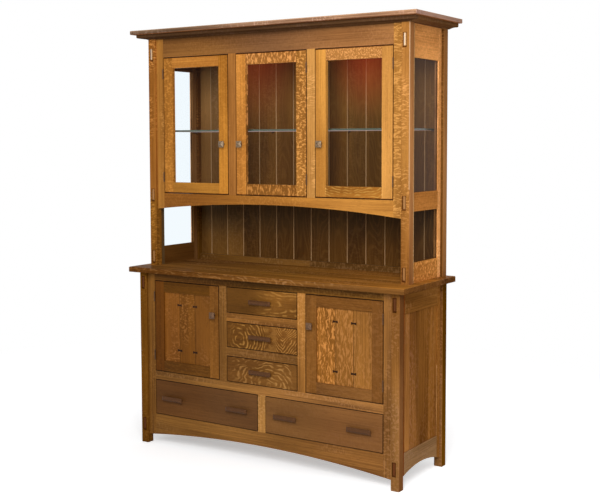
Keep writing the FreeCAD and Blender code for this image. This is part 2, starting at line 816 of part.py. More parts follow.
base_shelf_x = (partition_x[1] + shelf_end_gap, side_inner - shelf_end_gap)
base_shelf_y = (base_frame_back + base_shelf_setback, base_back - post_width - shelf_end_gap)
base_shelf_z = (base_shelf_height, base_shelf_height + base_shelf_thickness)
base_shelves = [block(base_shelf_x, base_shelf_y, base_shelf_z)]
base_shelves += mirrored(base_shelves)
base_pin_y = (base_front + post_width + pin_inset, base_back - post_width - pin_inset)
base_pins = []
for y in base_pin_y:
    base_pins.append(pin_pair(side_inner, -1, y, base_shelf_height))
    base_pins.append(pin_pair(partition_x[1], 1, y, base_shelf_height))
upper_pin_y = (upper_front + post_width + pin_inset, upper_back - post_width - pin_inset)
upper_pins = [pin_pair(side_inner, -1, y, glass_shelf_height) for y in upper_pin_y]
pin_z = glass_shelf_height - pin_radius
for wall, inward in ((upper_frame_back, 1), (boards_front, -1)):
    start = FreeCAD.Vector(partition_centre, wall - inward * pin_seat_depth, pin_z)
    upper_pins.append(Part.makeCylinder(pin_radius, pin_length, start, y_axis * inward))
shelf_pins = base_pins + upper_pins
shelf_pins += mirrored(shelf_pins)
glass_shelf = block(
    (glass_shelf_margin - inner_half, inner_half - glass_shelf_margin),
    (upper_frame_back + glass_shelf_margin, boards_front - glass_shelf_margin),
    (glass_shelf_height, glass_shelf_height + glass_shelf_thickness))
base_side_stiles = [cut_all(stile, base_pins) for stile in base_side_stiles]
upper_side_stiles = [cut_all(stile, upper_pins) for stile in upper_side_stiles]
partitions = [cut_all(partition, shelf_pins) for partition in partitions]
upper_stiles = [cut_all(stile, frame_recesses + shelf_pins) for stile in upper_stiles]


# Floor, back boards and back rail of the upper case

upper_floor = block(inside_x, (upper_frame_back, boards_front), (glass_low - floor_thickness, glass_low))
upper_floor = cut_all(upper_floor, posts_in_upper)


def back_board(left, right, tongue_left, tongue_right, z):
    """A board with bevelled front edges, a groove on its left and a tongue on its right."""
    tongue_y = about((boards_front + boards_back) / 2, back_tongue_thickness)
    board = block((left, right), (boards_front, boards_back), z)
    if tongue_right:
        board = board.fuse(block((right, right + back_tongue_length), tongue_y, z)).removeSplitter()
    if tongue_left:
        board = board.cut(block((left, left + back_tongue_length), tongue_y, z))
    for place, inward, joined in ((left, 1, tongue_left), (right, -1, tongue_right)):
        if joined:
            corner = outline([
                FreeCAD.Vector(place, boards_front, z[0]),
                FreeCAD.Vector(place + inward * back_bevel_width, boards_front, z[0]),
                FreeCAD.Vector(place, boards_front + back_bevel_width, z[0])])
            board = board.cut(corner.extrude(z_axis * (z[1] - z[0])))
    return board


joint_count = int(inner_half // back_board_width)
joints = [number * back_board_width for number in range(-joint_count, joint_count + 1)]
board_edges = [-inner_half] + joints + [inner_half]
board_z = (counter_height, crown_under)
back_boards = []
for left, right in zip(board_edges, board_edges[1:]):
    board = back_board(left, right, left > -inner_half, right < inner_half, board_z)
    back_boards.append(cut_all(board, [pin for pin in shelf_pins if board.common(pin).Volume > 0]))
back_rail = block(
    (-inner_half, inner_half), (boards_front - back_rail_thickness, boards_front),
    (counter_height, counter_height + back_rail_height))


# Counter and crown

def eased_slab(x, y, z, top_round, low_round):
    """A slab with rounded corners, and its top and low edges rounded at the front and the sides."""
    slab = block(x, y, z)

    def on(height):
        def chosen(edge):
            level = all(abs(vertex.Z - height) < near for vertex in edge.Vertexes)
            rear = all(abs(vertex.Y - y[1]) < near for vertex in edge.Vertexes)
            return level and not rear
        return chosen

    slab = ease(slab, top_round, on(z[1]))
    return ease(slab, low_round, on(z[0]))


countertop = eased_slab(
    (-counter_half, counter_half), (counter_front, counter_back),
    (counter_under, counter_height), counter_top_radius, counter_low_radius)
crown_half = half_case + crown_overhang
crown_board = eased_slab(
    (-crown_half, crown_half), (upper_front - crown_overhang, counter_back),
    (crown_under, overall_height), crown_radius, crown_radius)


def moulding_profile(at):
    """The section of the crown moulding; at(m, z) places a point m outside the posts."""
    lip = crown_under - moulding_lip_height
    nose_low = lip - moulding_nose_radius
    nose_in = moulding_depth - moulding_nose_radius
    nose_middle = at(nose_in + moulding_nose_radius * quarter_share, lip - moulding_nose_radius * quarter_share)
    sweep_middle = at(nose_in / 2, (nose_low + moulding_bottom) / 2 + moulding_sag_depth)
    top = Part.makePolygon([
        at(0, moulding_bottom), at(-frame_setback_depth, moulding_bottom), at(-frame_setback_depth, crown_under),
        at(moulding_depth, crown_under), at(moulding_depth, lip)])
    nose = Part.Arc(at(moulding_depth, lip), nose_middle, at(nose_in, nose_low)).toShape()
    sweep = Part.Arc(at(nose_in, nose_low), sweep_middle, at(0, moulding_bottom)).toShape()
    return Part.Face(Part.Wire(top.Edges + [nose, sweep]))


def plan_prism(points):
    """A prism over a plan outline, high enough to hold the moulding."""
    low = moulding_bottom - overrun
    face = outline([FreeCAD.Vector(x, y, low) for x, y in points])
    return face.extrude(z_axis * (crown_under + overrun - low))


reach = moulding_depth + overrun
depth_in = frame_setback_depth + overrun
moulding_back = counter_back - moulding_back_gap


def front_at(m, height):
    outward = m * moulding_front_share if m > 0 else m
    return FreeCAD.Vector(-half_case - reach, upper_front - outward, height)


def side_at(m, height):
    return FreeCAD.Vector(half_case + m, upper_front - reach, height)


front_run = moulding_profile(front_at).extrude(x_axis * (2 * (half_case + reach)))
side_run = moulding_profile(side_at).extrude(y_axis * (moulding_back - upper_front + reach))
front_reach = reach * moulding_front_share
front_plan = plan_prism([
    (-half_case - reach, upper_front - front_reach), (half_case + reach, upper_front - front_reach),
    (half_case, upper_front), (half_case - depth_in, upper_front + depth_in),
    (-half_case + depth_in, upper_front + depth_in), (-half_case, upper_front)])
side_plan = plan_prism([
    (half_case + reach, upper_front - front_reach), (half_case + reach, moulding_back),
    (half_case - depth_in, moulding_back), (half_case - depth_in, upper_front + depth_in),
    (half_case, upper_front)])
moulding_front = cut_all(front_run.common(front_plan), posts_in_upper)
moulding_side = cut_all(side_run.common(side_plan), posts_in_upper)
mouldings = [moulding_front, moulding_side] + mirrored([moulding_side])


# Puck lights under the crown board

def puck_light(x):
    middle_y = (upper_frame_back + boards_front) / 2
    body = Part.makeCylinder(light_radius, light_height, FreeCAD.Vector(x, middle_y, crown_under), z_axis * -1)
    lens_start = FreeCAD.Vector(x, middle_y, crown_under - light_height)
    return body.cut(Part.makeCylinder(light_lens_radius, light_lens_depth, lens_start, z_axis))


# Write every sub-part

keep("base_posts", posts_in_base)
keep("countertop", [countertop])
keep("base_rails", base_rails)
keep("base_arched_rail", [base_arched_rail])
keep("base_stiles", base_stiles)
base_side = base_side_stiles + base_side_members
keep("base_side_frames", base_side + mirrored(base_side))
keep("base_side_panels", [base_side_panel] + mirrored([base_side_panel]))
keep("base_back_panel", [base_back_panel])
keep("dust_panels", dust_panels)
keep("base_partitions", partitions)
keep("base_shelves", base_shelves)
keep("drawer_runners", runners)
keep("upper_posts", posts_in_upper)
keep("crown_board", [crown_board])
keep("crown_moulding", mouldings)
keep("frieze_rail", [frieze_rail])
keep("upper_arched_rail", [upper_arched_rail])
keep("upper_stiles", upper_stiles)
upper_side = upper_side_stiles + upper_side_members
keep("upper_side_frames", upper_side + mirrored(upper_side))
keep("upper_side_panes", upper_panes + mirrored(upper_panes))
keep("upper_back_boards", back_boards)
keep("upper_back_rail", [back_rail])
keep("upper_floor", [upper_floor])
keep("glass_shelf", [glass_shelf])
keep("shelf_pins", shelf_pins)
keep("puck_lights", [puck_light(side * light_place_share * bay_pitch) for side in (-1, 1)])
keep("hinge_frame_leaves", fixed_leaves + fixed_pins)
keep("door_catches", catches)
for name, pieces in door_sets.items():
    for kind, shapes in pieces.items():
        keep(name + "_" + kind, shapes)
for name, (front, boards, pulls) in drawer_sets.items():
    keep(name + "_front", [front])
    keep(name + "_box", boards)
    keep(name + ("_pulls" if len(pulls) > 1 else "_pull"), pulls)
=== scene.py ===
# %% [markdown]
# # Dressing an oak hutch
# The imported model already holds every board, door, drawer, hinge and pane of the hutch
# in its right place. This notebook gives it its finishes. It goes from the large to the
# small: the model, the camera, the light, then oak in several finishes, and last the
# glass, the dark bronze and the lamps. Sizes are in metres, X runs to the right, Y to the
# back and Z up, and the floor is at Z = 0.

import math

import bpy
import numpy as np
from mathutils import Matrix, Vector


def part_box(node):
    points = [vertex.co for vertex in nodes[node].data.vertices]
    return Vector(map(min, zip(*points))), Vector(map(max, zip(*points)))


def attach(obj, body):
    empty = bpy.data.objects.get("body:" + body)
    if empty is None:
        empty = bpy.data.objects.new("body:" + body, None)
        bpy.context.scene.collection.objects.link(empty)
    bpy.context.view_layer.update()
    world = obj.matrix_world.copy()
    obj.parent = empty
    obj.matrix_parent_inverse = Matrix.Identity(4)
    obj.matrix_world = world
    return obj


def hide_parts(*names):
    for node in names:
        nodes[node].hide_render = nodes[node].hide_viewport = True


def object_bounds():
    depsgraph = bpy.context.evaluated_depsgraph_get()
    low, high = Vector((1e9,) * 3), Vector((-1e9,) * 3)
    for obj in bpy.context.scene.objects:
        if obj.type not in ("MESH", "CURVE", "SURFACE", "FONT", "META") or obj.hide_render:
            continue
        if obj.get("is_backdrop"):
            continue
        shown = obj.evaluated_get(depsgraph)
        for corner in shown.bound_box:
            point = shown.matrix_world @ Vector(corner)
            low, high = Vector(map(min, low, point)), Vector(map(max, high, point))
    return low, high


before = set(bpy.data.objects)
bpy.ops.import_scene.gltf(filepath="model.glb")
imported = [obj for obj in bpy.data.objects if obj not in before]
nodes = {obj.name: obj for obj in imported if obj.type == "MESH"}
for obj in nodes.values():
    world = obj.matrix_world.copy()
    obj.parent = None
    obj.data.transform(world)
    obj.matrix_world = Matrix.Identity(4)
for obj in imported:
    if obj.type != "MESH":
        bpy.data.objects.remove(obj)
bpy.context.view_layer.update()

# %% [markdown]
# ## The camera
# The hutch is seen from its right, 33 degrees round from the front, by someone standing
# about five metres away. The lens was found by fitting the straight edges of the case,
# so the camera is placed by angles: yaw turns it left, pitch tips it down. It looks down
# a little, and a small vertical shift does the rest, because a shift keeps the posts
# more upright than a steeper tilt would.

# %% Place the camera
CAMERA_PLACE = Vector((2.9141, -4.3537, 1.565))
CAMERA_YAW, CAMERA_PITCH, CAMERA_ROLL = 33.01, -4.01, -0.14
IMAGE_WIDTH = 600
FOCAL_PIXELS = 1060.07
SHIFT_PIXELS = -34.29
SENSOR_WIDTH = 36.0


def camera_axes(yaw, pitch, roll):
    """The camera's right, up and back directions. Forward is +Y turned left by yaw and
    then tipped up by pitch; roll turns right and up about it."""
    forward = Vector(
        (-math.sin(yaw) * math.cos(pitch), math.cos(yaw) * math.cos(pitch), math.sin(pitch))
    )
    level = Vector((math.cos(yaw), math.sin(yaw), 0))
    upright = level.cross(forward)
    right = level * math.cos(roll) + upright * math.sin(roll)
    up = upright * math.cos(roll) - level * math.sin(roll)
    return right, up, -forward


camera_data = bpy.data.cameras.new("camera")
camera_data.sensor_width = SENSOR_WIDTH
camera_data.lens = FOCAL_PIXELS / IMAGE_WIDTH * SENSOR_WIDTH
camera_data.shift_y = SHIFT_PIXELS / IMAGE_WIDTH
camera = bpy.data.objects.new("camera", camera_data)
axes = camera_axes(*(math.radians(a) for a in (CAMERA_YAW, CAMERA_PITCH, CAMERA_ROLL)))
camera.matrix_world = Matrix.Translation(CAMERA_PLACE) @ Matrix(axes).transposed().to_4x4()
bpy.context.scene.collection.objects.link(camera)
bpy.context.scene.camera = camera
bpy.context.scene.view_settings.view_transform = "Standard"
print("lens", round(camera_data.lens, 2), "mm")

# %% [markdown]
# ## Writing shaders as sums
# A material is a graph of nodes, and a graph is hard to read in code. Two small classes
# let it be written as arithmetic. A Wire wraps one output of a node: adding, subtracting
# or multiplying wires adds Math nodes behind the scenes. A Finish is one material, with
# one method, node, that adds a node of any kind: its settings go in first, because a
# node's sockets can depend on them, and then its sockets are set or linked.

# %% The two classes


class Wire:
    """One output of a shader node, which does arithmetic by adding Math nodes."""

    def __init__(self, finish, socket):
        self.finish = finish
        self.socket = socket

    def __add__(self, other):
        return self.finish.sum("ADD", self, other)

    def __sub__(self, other):
        return self.finish.sum("SUBTRACT", self, other)

    def __mul__(self, other):
        return self.finish.sum("MULTIPLY", self, other)

    def __truediv__(self, other):
        return self.finish.sum("DIVIDE", self, other)

    def __gt__(self, other):
        return self.finish.sum("GREATER_THAN", self, other)

    def __lt__(self, other):
        return self.finish.sum("LESS_THAN", self, other)

    def __rsub__(self, other):
        return self.finish.sum("SUBTRACT", other, self)

    __rmul__ = __mul__


class Finish:
    """A material under construction."""

    def __init__(self, name, owner=None):
        self.material = owner or bpy.data.materials.new(name)
        self.material.use_nodes = True
        self.nodes = self.material.node_tree.nodes
        self.links = self.material.node_tree.links
        self.nodes.clear()
        self.place = self.node("ShaderNodeTexCoord", out="Object")

    def node(self, kind, settings=None, sockets=None, out=0):
        """Adds a node, applies its settings, sets or links its sockets, and returns the
        Wire of the output named or numbered out."""
        made = self.nodes.new(kind)
        for name, value in (settings or {}).items():
            setattr(made, name, value)
        for name, value in (sockets or {}).items():
            if isinstance(value, Wire):
                self.links.new(value.socket, made.inputs[name])
            else:
                made.inputs[name].default_value = value
        return Wire(self, made.outputs[out]) if len(made.outputs) else made

    def sum(self, operation, *values):
        """One Math node over one, two or three values."""
        settings = {"operation": operation}
        return self.node("ShaderNodeMath", settings, dict(enumerate(values)))

    def vector_sum(self, operation, first, second):
        """One Vector Math node over two vectors."""
        settings = {"operation": operation}
        return self.node("ShaderNodeVectorMath", settings, {0: first, 1: second})

    def vector(self, x, y, z):
        """Three values as one vector."""
        return self.node("ShaderNodeCombineXYZ", None, {0: x, 1: y, 2: z})

    def axes(self, vector):
        """The three values of a vector."""
        split = self.node("ShaderNodeSeparateXYZ", None, {0: vector}).socket.node
        return [Wire(self, socket) for socket in split.outputs]

    def mix_vector(self, share, first, second):
        """first where share is 0, second where it is 1."""
        return self.node(
            "ShaderNodeMix", {"data_type": "VECTOR"}, {0: share, 4: first, 5: second}, 1
        )

    def mix_value(self, share, first, second):
        """first where share is 0, second where it is 1, for plain values."""
        return share * (second - first) + first

    def mix_colour(self, share, first, second, blend="MIX"):
        """Colours mixed by share, or blended as blend says."""
        settings = {"data_type": "RGBA", "blend_type": blend}
        return self.node("ShaderNodeMix", settings, {0: share, 6: first, 7: second}, 2)

    def between(self, value, low, high):
        """0 below low and 1 above high, with a smooth rise between them. low may be the
        larger one, and then it is 1 below high and falls to 0 at low."""
        turned = low > high
        rise = self.node(
            "ShaderNodeMapRange",
            {"interpolation_type": "SMOOTHSTEP"},
            {0: value, 1: min(low, high), 2: max(low, high)},
        )
        return 1 - rise if turned else rise

    def noise(self, vector, scale=1.0, detail=2.0, roughness=0.5):
        """Smooth noise of about 0.5, with lumps 1/scale across."""
        sockets = {0: vector, "Scale": scale, "Detail": detail, "Roughness": roughness}
        return self.node("ShaderNodeTexNoise", None, sockets)

    def surface(self, shader):
        """Makes a shader the material's surface, and returns the material."""
        self.node("ShaderNodeOutputMaterial", None, {0: shader})
        return self.material


def colour(red, green, blue):
    """A colour as it looks on a screen, 0 to 255 a channel, as the linear colour that
    Blender's sockets take."""
    shares = np.array([red, green, blue]) / 255
    linear = np.where(shares <= 0.04045, shares / 12.92, ((shares + 0.055) / 1.055) ** 2.4)
    return (*linear.tolist(), 1.0)


print("honey oak in linear light", [round(c, 3) for c in colour(190, 126, 60)])

# %% [markdown]
# ## White studio
# The hutch stands on a white floor before a white background, with one soft shadow
# under it. The background is white by its own colour: the world is plain white for rays
# from the camera and for reflections, and dimmer for the light that it sheds, so that
# colours come out as they are written. The floor is pale, and a little glow that only
# the camera sees lifts it to white where no shadow falls. Far off it is plain white.

# %% World and floor
DIFFUSE_WORLD = 0.45
FLOOR_GLOW = 0.42
FAR_GLOW = 0.75
FAR_LIGHT = 0.5
SHADED_SPOT = (-0.3, -0.3)
GLOW_RISES = (0.3, 2.4)
TURNS_PLAIN = (1.6, 3.2)
PAPER = (0.86, 0.87, 0.88, 1)
FLOOR_REACH = 60.0


def seen_directly(finish):
    """1 for rays from the camera, through glass and off gloss, and 0 for other rays."""
    path = finish.node("ShaderNodeLightPath").socket.node
    rays = [
        Wire(finish, path.outputs[name])
        for name in ("Is Camera Ray", "Is Glossy Ray", "Is Transmission Ray")
    ]
    return finish.sum("MAXIMUM", finish.sum("MAXIMUM", rays[0], rays[1]), rays[2])


world = bpy.data.worlds.new("white_studio")
studio = Finish("white_studio", world)
strength = seen_directly(studio) * (1 - DIFFUSE_WORLD) + DIFFUSE_WORLD
sky = studio.node("ShaderNodeBackground", None, {0: (1, 1, 1, 1), 1: strength})
studio.node("ShaderNodeOutputWorld", None, {0: sky})
bpy.context.scene.world = world

floor_mesh = bpy.data.meshes.new("floor")
floor_mesh.from_pydata(
    [(x * FLOOR_REACH, y * FLOOR_REACH, 0) for x, y in ((-1, -1), (1, -1), (1, 1), (-1, 1))],
    [],
    [(0, 1, 2, 3)],
)
floor = bpy.data.objects.new("floor", floor_mesh)
bpy.context.scene.collection.objects.link(floor)
floor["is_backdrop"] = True
paper = Finish("white_floor")
matt = paper.node("ShaderNodeBsdfDiffuse", None, {0: PAPER})
x, y, _ = paper.axes(paper.place)
across, ahead = x - SHADED_SPOT[0], y - SHADED_SPOT[1]
from_spot = paper.sum("SQRT", across * across + ahead * ahead)
lifted = paper.between(from_spot, *GLOW_RISES) * (FAR_GLOW - FLOOR_GLOW) + FLOOR_GLOW
lift = paper.node(
    "ShaderNodeEmission", None, {0: paper.vector(lifted, lifted, lifted), 1: seen_directly(paper)}
)
near = paper.node("ShaderNodeAddShader", None, {0: matt, 1: lift})
plain = paper.node(
    "ShaderNodeEmission", None, {1: seen_directly(paper) * (1 - FAR_LIGHT) + FAR_LIGHT}
)
distance = paper.between(from_spot, *TURNS_PLAIN)
floor_mesh.materials.append(
    paper.surface(paper.node("ShaderNodeMixShader", None, {0: distance, 1: near, 2: plain}))
)
print("floor", FLOOR_REACH * 2, "m wide")

# %% [markdown]
# ## The lamps
# Two large soft lamps stand in front of the hutch. The key is high on the right, so the
# upper right door is the brightest and the drawers are calmer. The fill is weak and
# keeps the left side from going flat. Each has a place, an aim, a width and a power.

# %% Place the lamps
LAMPS = {
    "key": ((1.8, -3.2, 2.6), (0.4, -0.1, 1.4), 1.8, 125.0),
    "fill": ((-3.2, -4.2, 2.0), (-0.2, -0.1, 1.1), 2.6, 12.0),
}
for name, (place, aim, width, watts) in LAMPS.items():
    lamp_data = bpy.data.lights.new(name, "AREA")
    lamp_data.energy = watts
    lamp_data.size = width
    lamp = bpy.data.objects.new(name, lamp_data)
    bpy.context.scene.collection.objects.link(lamp)
    lamp.location = place
    lamp.rotation_euler = (Vector(aim) - Vector(place)).to_track_quat("-Z", "Y").to_euler()
print("lamps", ", ".join(LAMPS))

# %% [markdown]
# ## What makes a board look like oak
# This oak is quartersawn. Its growth rings stand on edge in the face, so they show as
# fine straight streaks along the board. Long dark pores follow the streaks. Flat plates
# of harder wood, the rays, cross them: where the saw met them at a shallow angle they
# show as bright curling flecks. A few boards are cut flat instead, and their rings show
# as nested curves.
#
# Every board has its own direction and its own piece of tree, but one node of the model
# can hold several boards. So the material works out which board a point is on. A number
# counts how many joints lie before the point, and white noise turns that number into an
# offset for the grain and a small change of tone.

# %% Which board a point is on


def joints_before(value, joints):
    """How many of the joints, places along one axis, lie before the value."""
    return sum((value > joint for joint in joints[1:]), value > joints[0])


def board_grain(finish, along, number):
    """Where a point lies in its own board: a vector of the place along the grain, across
    it and through the board, shifted far away by a random amount for each board, and
    the board's own random colour, whose three channels serve as three random numbers."""
    x, y, z = finish.axes(finish.place)
    lie = {"x": (x, z, y), "y": (y, z, x), "z": (z, x, y)}[along]
    chance = finish.node(
        "ShaderNodeTexWhiteNoise", {"noise_dimensions": "1D"}, {"W": number}, out="Color"
    )
    far = finish.vector_sum("MULTIPLY", chance, (9.0, 7.0, 5.0))
    return finish.vector_sum("ADD", finish.vector(*lie), far), chance


# %% [markdown]
# The wood itself is one function of that vector. Stretching a noise along the grain is
# only a matter of multiplying the place by small numbers along the board and large ones
# across it. Each layer answers one thing that the eye looks for: slow changes of tone,
# streaks, pores and flecks. The flecks are the places where a bent noise lies above one
# value, and they come in patches, where the ground between them is darker.

# %% Oak
SATIN = 0.42
GLAZE_GLOSS = 0.05
SLOW_STRETCH = (1.2, 6.0, 6.0)
STREAK_STRETCH = (2.2, 150.0, 150.0)
PORE_STRETCH = (26.0, 900.0, 900.0)
PATCH_STRETCH = (3.0, 9.0, 9.0)
FLECK_STRETCH = (110.0, 62.0, 62.0)
RIB_STRETCH = (170.0, 34.0, 34.0)
STROKE_STRETCH = (115.0, 36.0, 36.0)
FLAME_STRETCH = (52.0, 130.0, 130.0)
FINE_STRETCH = (170.0, 110.0, 110.0)
LONG_STRETCH = (36.0, 150.0, 150.0)
RAY_BEND = (0.026, 0.020, 0.010)
PORE_EDGE = (0.60, 0.70)
RAY_EDGE = (0.49, 0.60)
PATCH_EDGE = (0.93, 1.10)
BOARD_TONE = 0.12


def oak_layers(
    finish,
    grain,
    chance,
    light,
    dark,
    fleck=0.4,
    cover=0.4,
    stretch=FLECK_STRETCH,
    streaks=0.8,
):
    """Colour, roughness and height of oak. fleck is how strongly the rays show, cover
    which part of a board has them, stretch how they are drawn out, and streaks how
    strong the streaks are."""
    luck = finish.axes(chance)

    def stretched(by):
        return finish.vector_sum("MULTIPLY", grain, by)

    slow = finish.noise(stretched(SLOW_STRETCH), detail=2.0)
    streak = finish.noise(stretched(STREAK_STRETCH), detail=3.0, roughness=0.6)
    pore = finish.between(finish.noise(stretched(PORE_STRETCH), detail=1.0), *PORE_EDGE)
    warp = finish.node(
        "ShaderNodeTexNoise", None, {0: grain, "Scale": 26.0, "Detail": 1.0}, out="Color"
    )
    bent = finish.vector_sum("ADD", grain, finish.vector_sum("MULTIPLY", warp, RAY_BEND))
    rays = finish.noise(finish.vector_sum("MULTIPLY", bent, stretch), detail=3.0)
    patch = finish.noise(stretched(PATCH_STRETCH), detail=1.0) + luck[1] * 0.2
    rich = finish.between(patch + cover, *PATCH_EDGE) * fleck
    flecks = finish.between(rays, *RAY_EDGE) * rich
    share = (streak - 0.5) * streaks + (slow - 0.5) * 1.6 + 0.5
    body = finish.mix_colour(finish.between(share, 0.0, 1.0), dark, light)
    body = finish.mix_colour(pore * 0.5, body, tuple(c * 0.45 for c in dark[:3]) + (1.0,))
    bright = tuple(min(1.0, c * 1.5 + 0.04) for c in light[:3]) + (1.0,)
    body = finish.mix_colour(rich * 0.45, body, tuple(c * 0.75 for c in dark[:3]) + (1.0,))
    body = finish.mix_colour(flecks, body, bright)
    value = luck[0] * BOARD_TONE + (1 - BOARD_TONE / 2)
    body = finish.node("ShaderNodeHueSaturation", None, {"Value": value, "Color": body})
    rough = (streak - 0.5) * 0.20 - flecks * 0.10 + pore * 0.15
    height = streak * 0.4 - pore * 0.8 + flecks * 0.3
    return body, rough, height


def oak(name, boards, light, dark, shade=None, emit=None, coat=None, gloss=GLAZE_GLOSS, **look):
    """An oak finish. boards gives a list of (mask, along, number): the last one whose
    mask is 1 at a point says which way the grain runs there and which board it is.
    shade, if there is one, takes the wood's colour and gives it back changed, and emit
    gives a colour that the wood gives off. coat says where a clear gloss coat lies on
    it. What is in look goes to oak_layers, and a function there is asked for its value
    first."""
    finish = Finish(name)
    place = finish.axes(finish.place)
    grain = chance = None
    for mask, along, number in boards(finish, *place):
        lie, own = board_grain(finish, along, number)
        grain = lie if grain is None else finish.mix_vector(mask, grain, lie)
        chance = own if chance is None else finish.mix_colour(mask, chance, own)
    look = {key: part(finish, *place) if callable(part) else part for key, part in look.items()}
    body, rough, height = oak_layers(finish, grain, chance, light, dark, **look)
    if shade:
        body = shade(finish, body, *place)
    bump = finish.node(
        "ShaderNodeBump", None, {"Strength": 0.25, "Distance": 0.0004, "Height": height}
    )
    sockets = {
        "Base Color": body,
        "Roughness": rough + SATIN,
        "Normal": bump,
        "Specular IOR Level": gloss,
    }
    if coat:
        sockets.update({"Coat Weight": coat(finish, *place), "Coat Roughness": 0.2})
    if emit:
        sockets.update({"Emission Color": emit(finish, *place), "Emission Strength": 1.0})
    return finish.surface(finish.node("ShaderNodeBsdfPrincipled", None, sockets))


def wear(node_names, material):
    """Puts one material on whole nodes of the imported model."""
    for name in node_names:
        nodes[name].data.materials.clear()
        nodes[name].data.materials.append(material)


def clad(node_names, *finish, **look):
    """Puts one oak finish, made as oak makes it, on whole nodes."""
    wear(node_names, oak(*finish, **look))


print("streaks repeat", STREAK_STRETCH[1], "times a metre")

# %% [markdown]
# ## Tones
# Glaze is wiped on by hand, and one board takes more of it than another. A table gives each piece
# of the hutch its tones, factors for red, green and blue, from the left to the right and from the
# bottom up. The doors come as left stile, right stile, low rail and top rail. The tones are partly
# the boards' own tone and partly painted light and shade: pieces on the right and the side faces
# are painted lighter, as the key lamp is on the right, and pieces on the left, under the counter
# and in the niche are painted darker. Small helpers use the table. Each gives a function that
# changes the wood's colour: tones that run into each other along a board, tones that change at
# joints, one tone inside a box, and thin dark lines: dark joints between boards, and painted shade
# in the gaps round doors and drawers. Several of them are chained with in_turn.

# %% Tones of the boards
TONES = {
    "left_glass_door_frame": [
        (0.86, 0.81, 0.51), (1.06, 1.02, 0.58), (0.81, 0.82, 0.52), (1.36, 1.37, 1.10),
    ],
    "middle_glass_door_frame": [
        (1.17, 1.12, 0.85), (0.87, 0.88, 0.72), (0.50, 0.46, 0.33), (0.76, 0.72, 0.64),
    ],
    "right_glass_door_frame": [
        (1.52, 1.70, 1.49), (1.17, 1.29, 1.29), (0.61, 0.56, 0.35), (0.93, 0.96, 1.04),
    ],
    "left_cupboard_door_frame": [
        (0.54, 0.42, 0.16), (1.05, 0.99, 0.69), (0.71, 0.65, 0.34), (0.47, 0.42, 0.16),
    ],
    "right_cupboard_door_frame": [
        (0.87, 0.82, 0.65), (0.68, 0.63, 0.54), (0.84, 0.84, 0.88), (0.86, 0.81, 0.64),
    ],
    "upper_left_post": [(0.59, 0.57, 0.34), (0.75, 0.69, 0.56)],
    "upper_right_post": [(0.81, 0.81, 0.79), (0.77, 0.80, 0.74), (0.94, 0.98, 1.00)],
    "upper_post_sides": [(1.01, 1.05, 1.61), (0.97, 1.07, 1.63), (0.97, 1.07, 1.63)],
    "upper_stiles": [
        (0.96, 1.01, 0.85), (0.87, 0.85, 0.81), (0.97, 1.10, 1.20), (0.92, 0.99, 0.88),
    ],
    "frieze_rail": [(0.69, 0.72, 0.72), (0.48, 0.52, 0.83), (0.92, 0.99, 1.35)],
    "upper_arched_rail": [(0.54, 0.48, 0.40), (0.88, 0.87, 0.80), (0.97, 1.02, 1.12)],
    "upper_side_rails": [(1.48, 1.45, 1.39), (1.07, 0.98, 0.93), (1.58, 1.62, 2.05)],
    "upper_side_stiles": [(1.50, 2.13, 4.00), (2.12, 2.33, 3.27)],
    "niche_boards": [(0.39, 0.40, 0.41), (0.34, 0.42, 0.64)],
    "back_boards": [(0.58, 0.58, 0.54), (0.85, 0.91, 0.98)],
    "niche_rail": [(0.95, 1.06, 1.14)],
    "counter_top": [(0.98, 1.09, 1.38), (1.14, 1.25, 1.20), (1.34, 1.37, 1.28)],
    "counter_edge": [(0.62, 0.59, 0.60), (0.88, 0.92, 1.07), (0.64, 0.69, 0.94)],
    "crown_edge": [(0.65, 1.00, 1.73), (1.45, 2.13, 3.67), (1.32, 1.86, 3.08)],
    "crown_moulding": [(1.12, 1.45, 2.25)],
    "base_top_rail": [(0.57, 0.53, 0.33), (0.48, 0.48, 0.25), (0.86, 0.88, 0.59)],
    "base_middle_rail": [(1.18, 1.29, 1.33), (1.35, 1.44, 1.75)],
    "drawer_rails": [(0.87, 0.92, 0.93), (1.17, 1.19, 1.12)],
    "base_arched_rail": [(0.91, 0.97, 0.91), (1.37, 1.51, 1.59), (1.19, 1.22, 1.29)],
    "base_stiles": [
        (0.92, 0.94, 0.76), (0.98, 1.03, 0.95), (1.65, 1.73, 1.63), (1.23, 1.29, 1.40),
    ],
    "bottom_mullion": [(1.70, 1.96, 2.16)],
    "left_cupboard_door_panel": [(0.70, 0.68, 0.61), (0.66, 0.66, 0.53), (0.51, 0.51, 0.48)],
    "right_cupboard_door_panel": [(0.88, 0.90, 0.85), (0.78, 0.83, 0.93), (0.81, 0.89, 1.09)],
    "lower_drawer_front": [(0.74, 0.74, 0.75), (0.93, 0.97, 1.03)],
    "middle_drawer_front": [(1.03, 1.04, 0.85), (1.08, 1.06, 0.94)],
    "top_drawer_front": [(0.50, 0.50, 0.39), (1.00, 1.02, 0.87)],
    "bottom_left_drawer_front": [(0.90, 1.04, 1.04), (0.89, 1.11, 1.38)],
    "bottom_right_drawer_front": [(0.89, 1.09, 1.39), (0.93, 1.09, 1.45)],
    "base_left_post": [(0.61, 0.60, 0.42)],
    "base_right_post": [(1.05, 1.23, 2.10), (1.14, 1.25, 1.77)],
    "base_post_sides": [(0.99, 1.02, 1.88), (0.69, 0.66, 0.15)],
    "base_side_stiles": [(1.10, 0.47, 0.15), (1.60, 1.52, 1.23)],
    "base_side_rails": [(1.58, 2.08, 4.00), (1.78, 1.78, 1.65)],
    "base_side_panels": [(1.81, 1.86, 3.62), (0.98, 0.94, 1.38), (1.42, 1.39, 1.98)],
    "counter_side": [(0.70, 0.70, 0.95)],
    "crown_side": [(1.22, 1.81, 3.95)],
    "niche_left": [(2.16, 2.43, 3.03)],
    "back_left": [(1.29, 1.49, 2.48)],
    "moulding_side": [(1.59, 1.48, 1.23)],
    "back_right": [(0.79, 0.85, 0.87)],
}


def tint(key, number=0):
    """A tone from the table as a colour."""
    return (*TONES[key][number], 1.0)


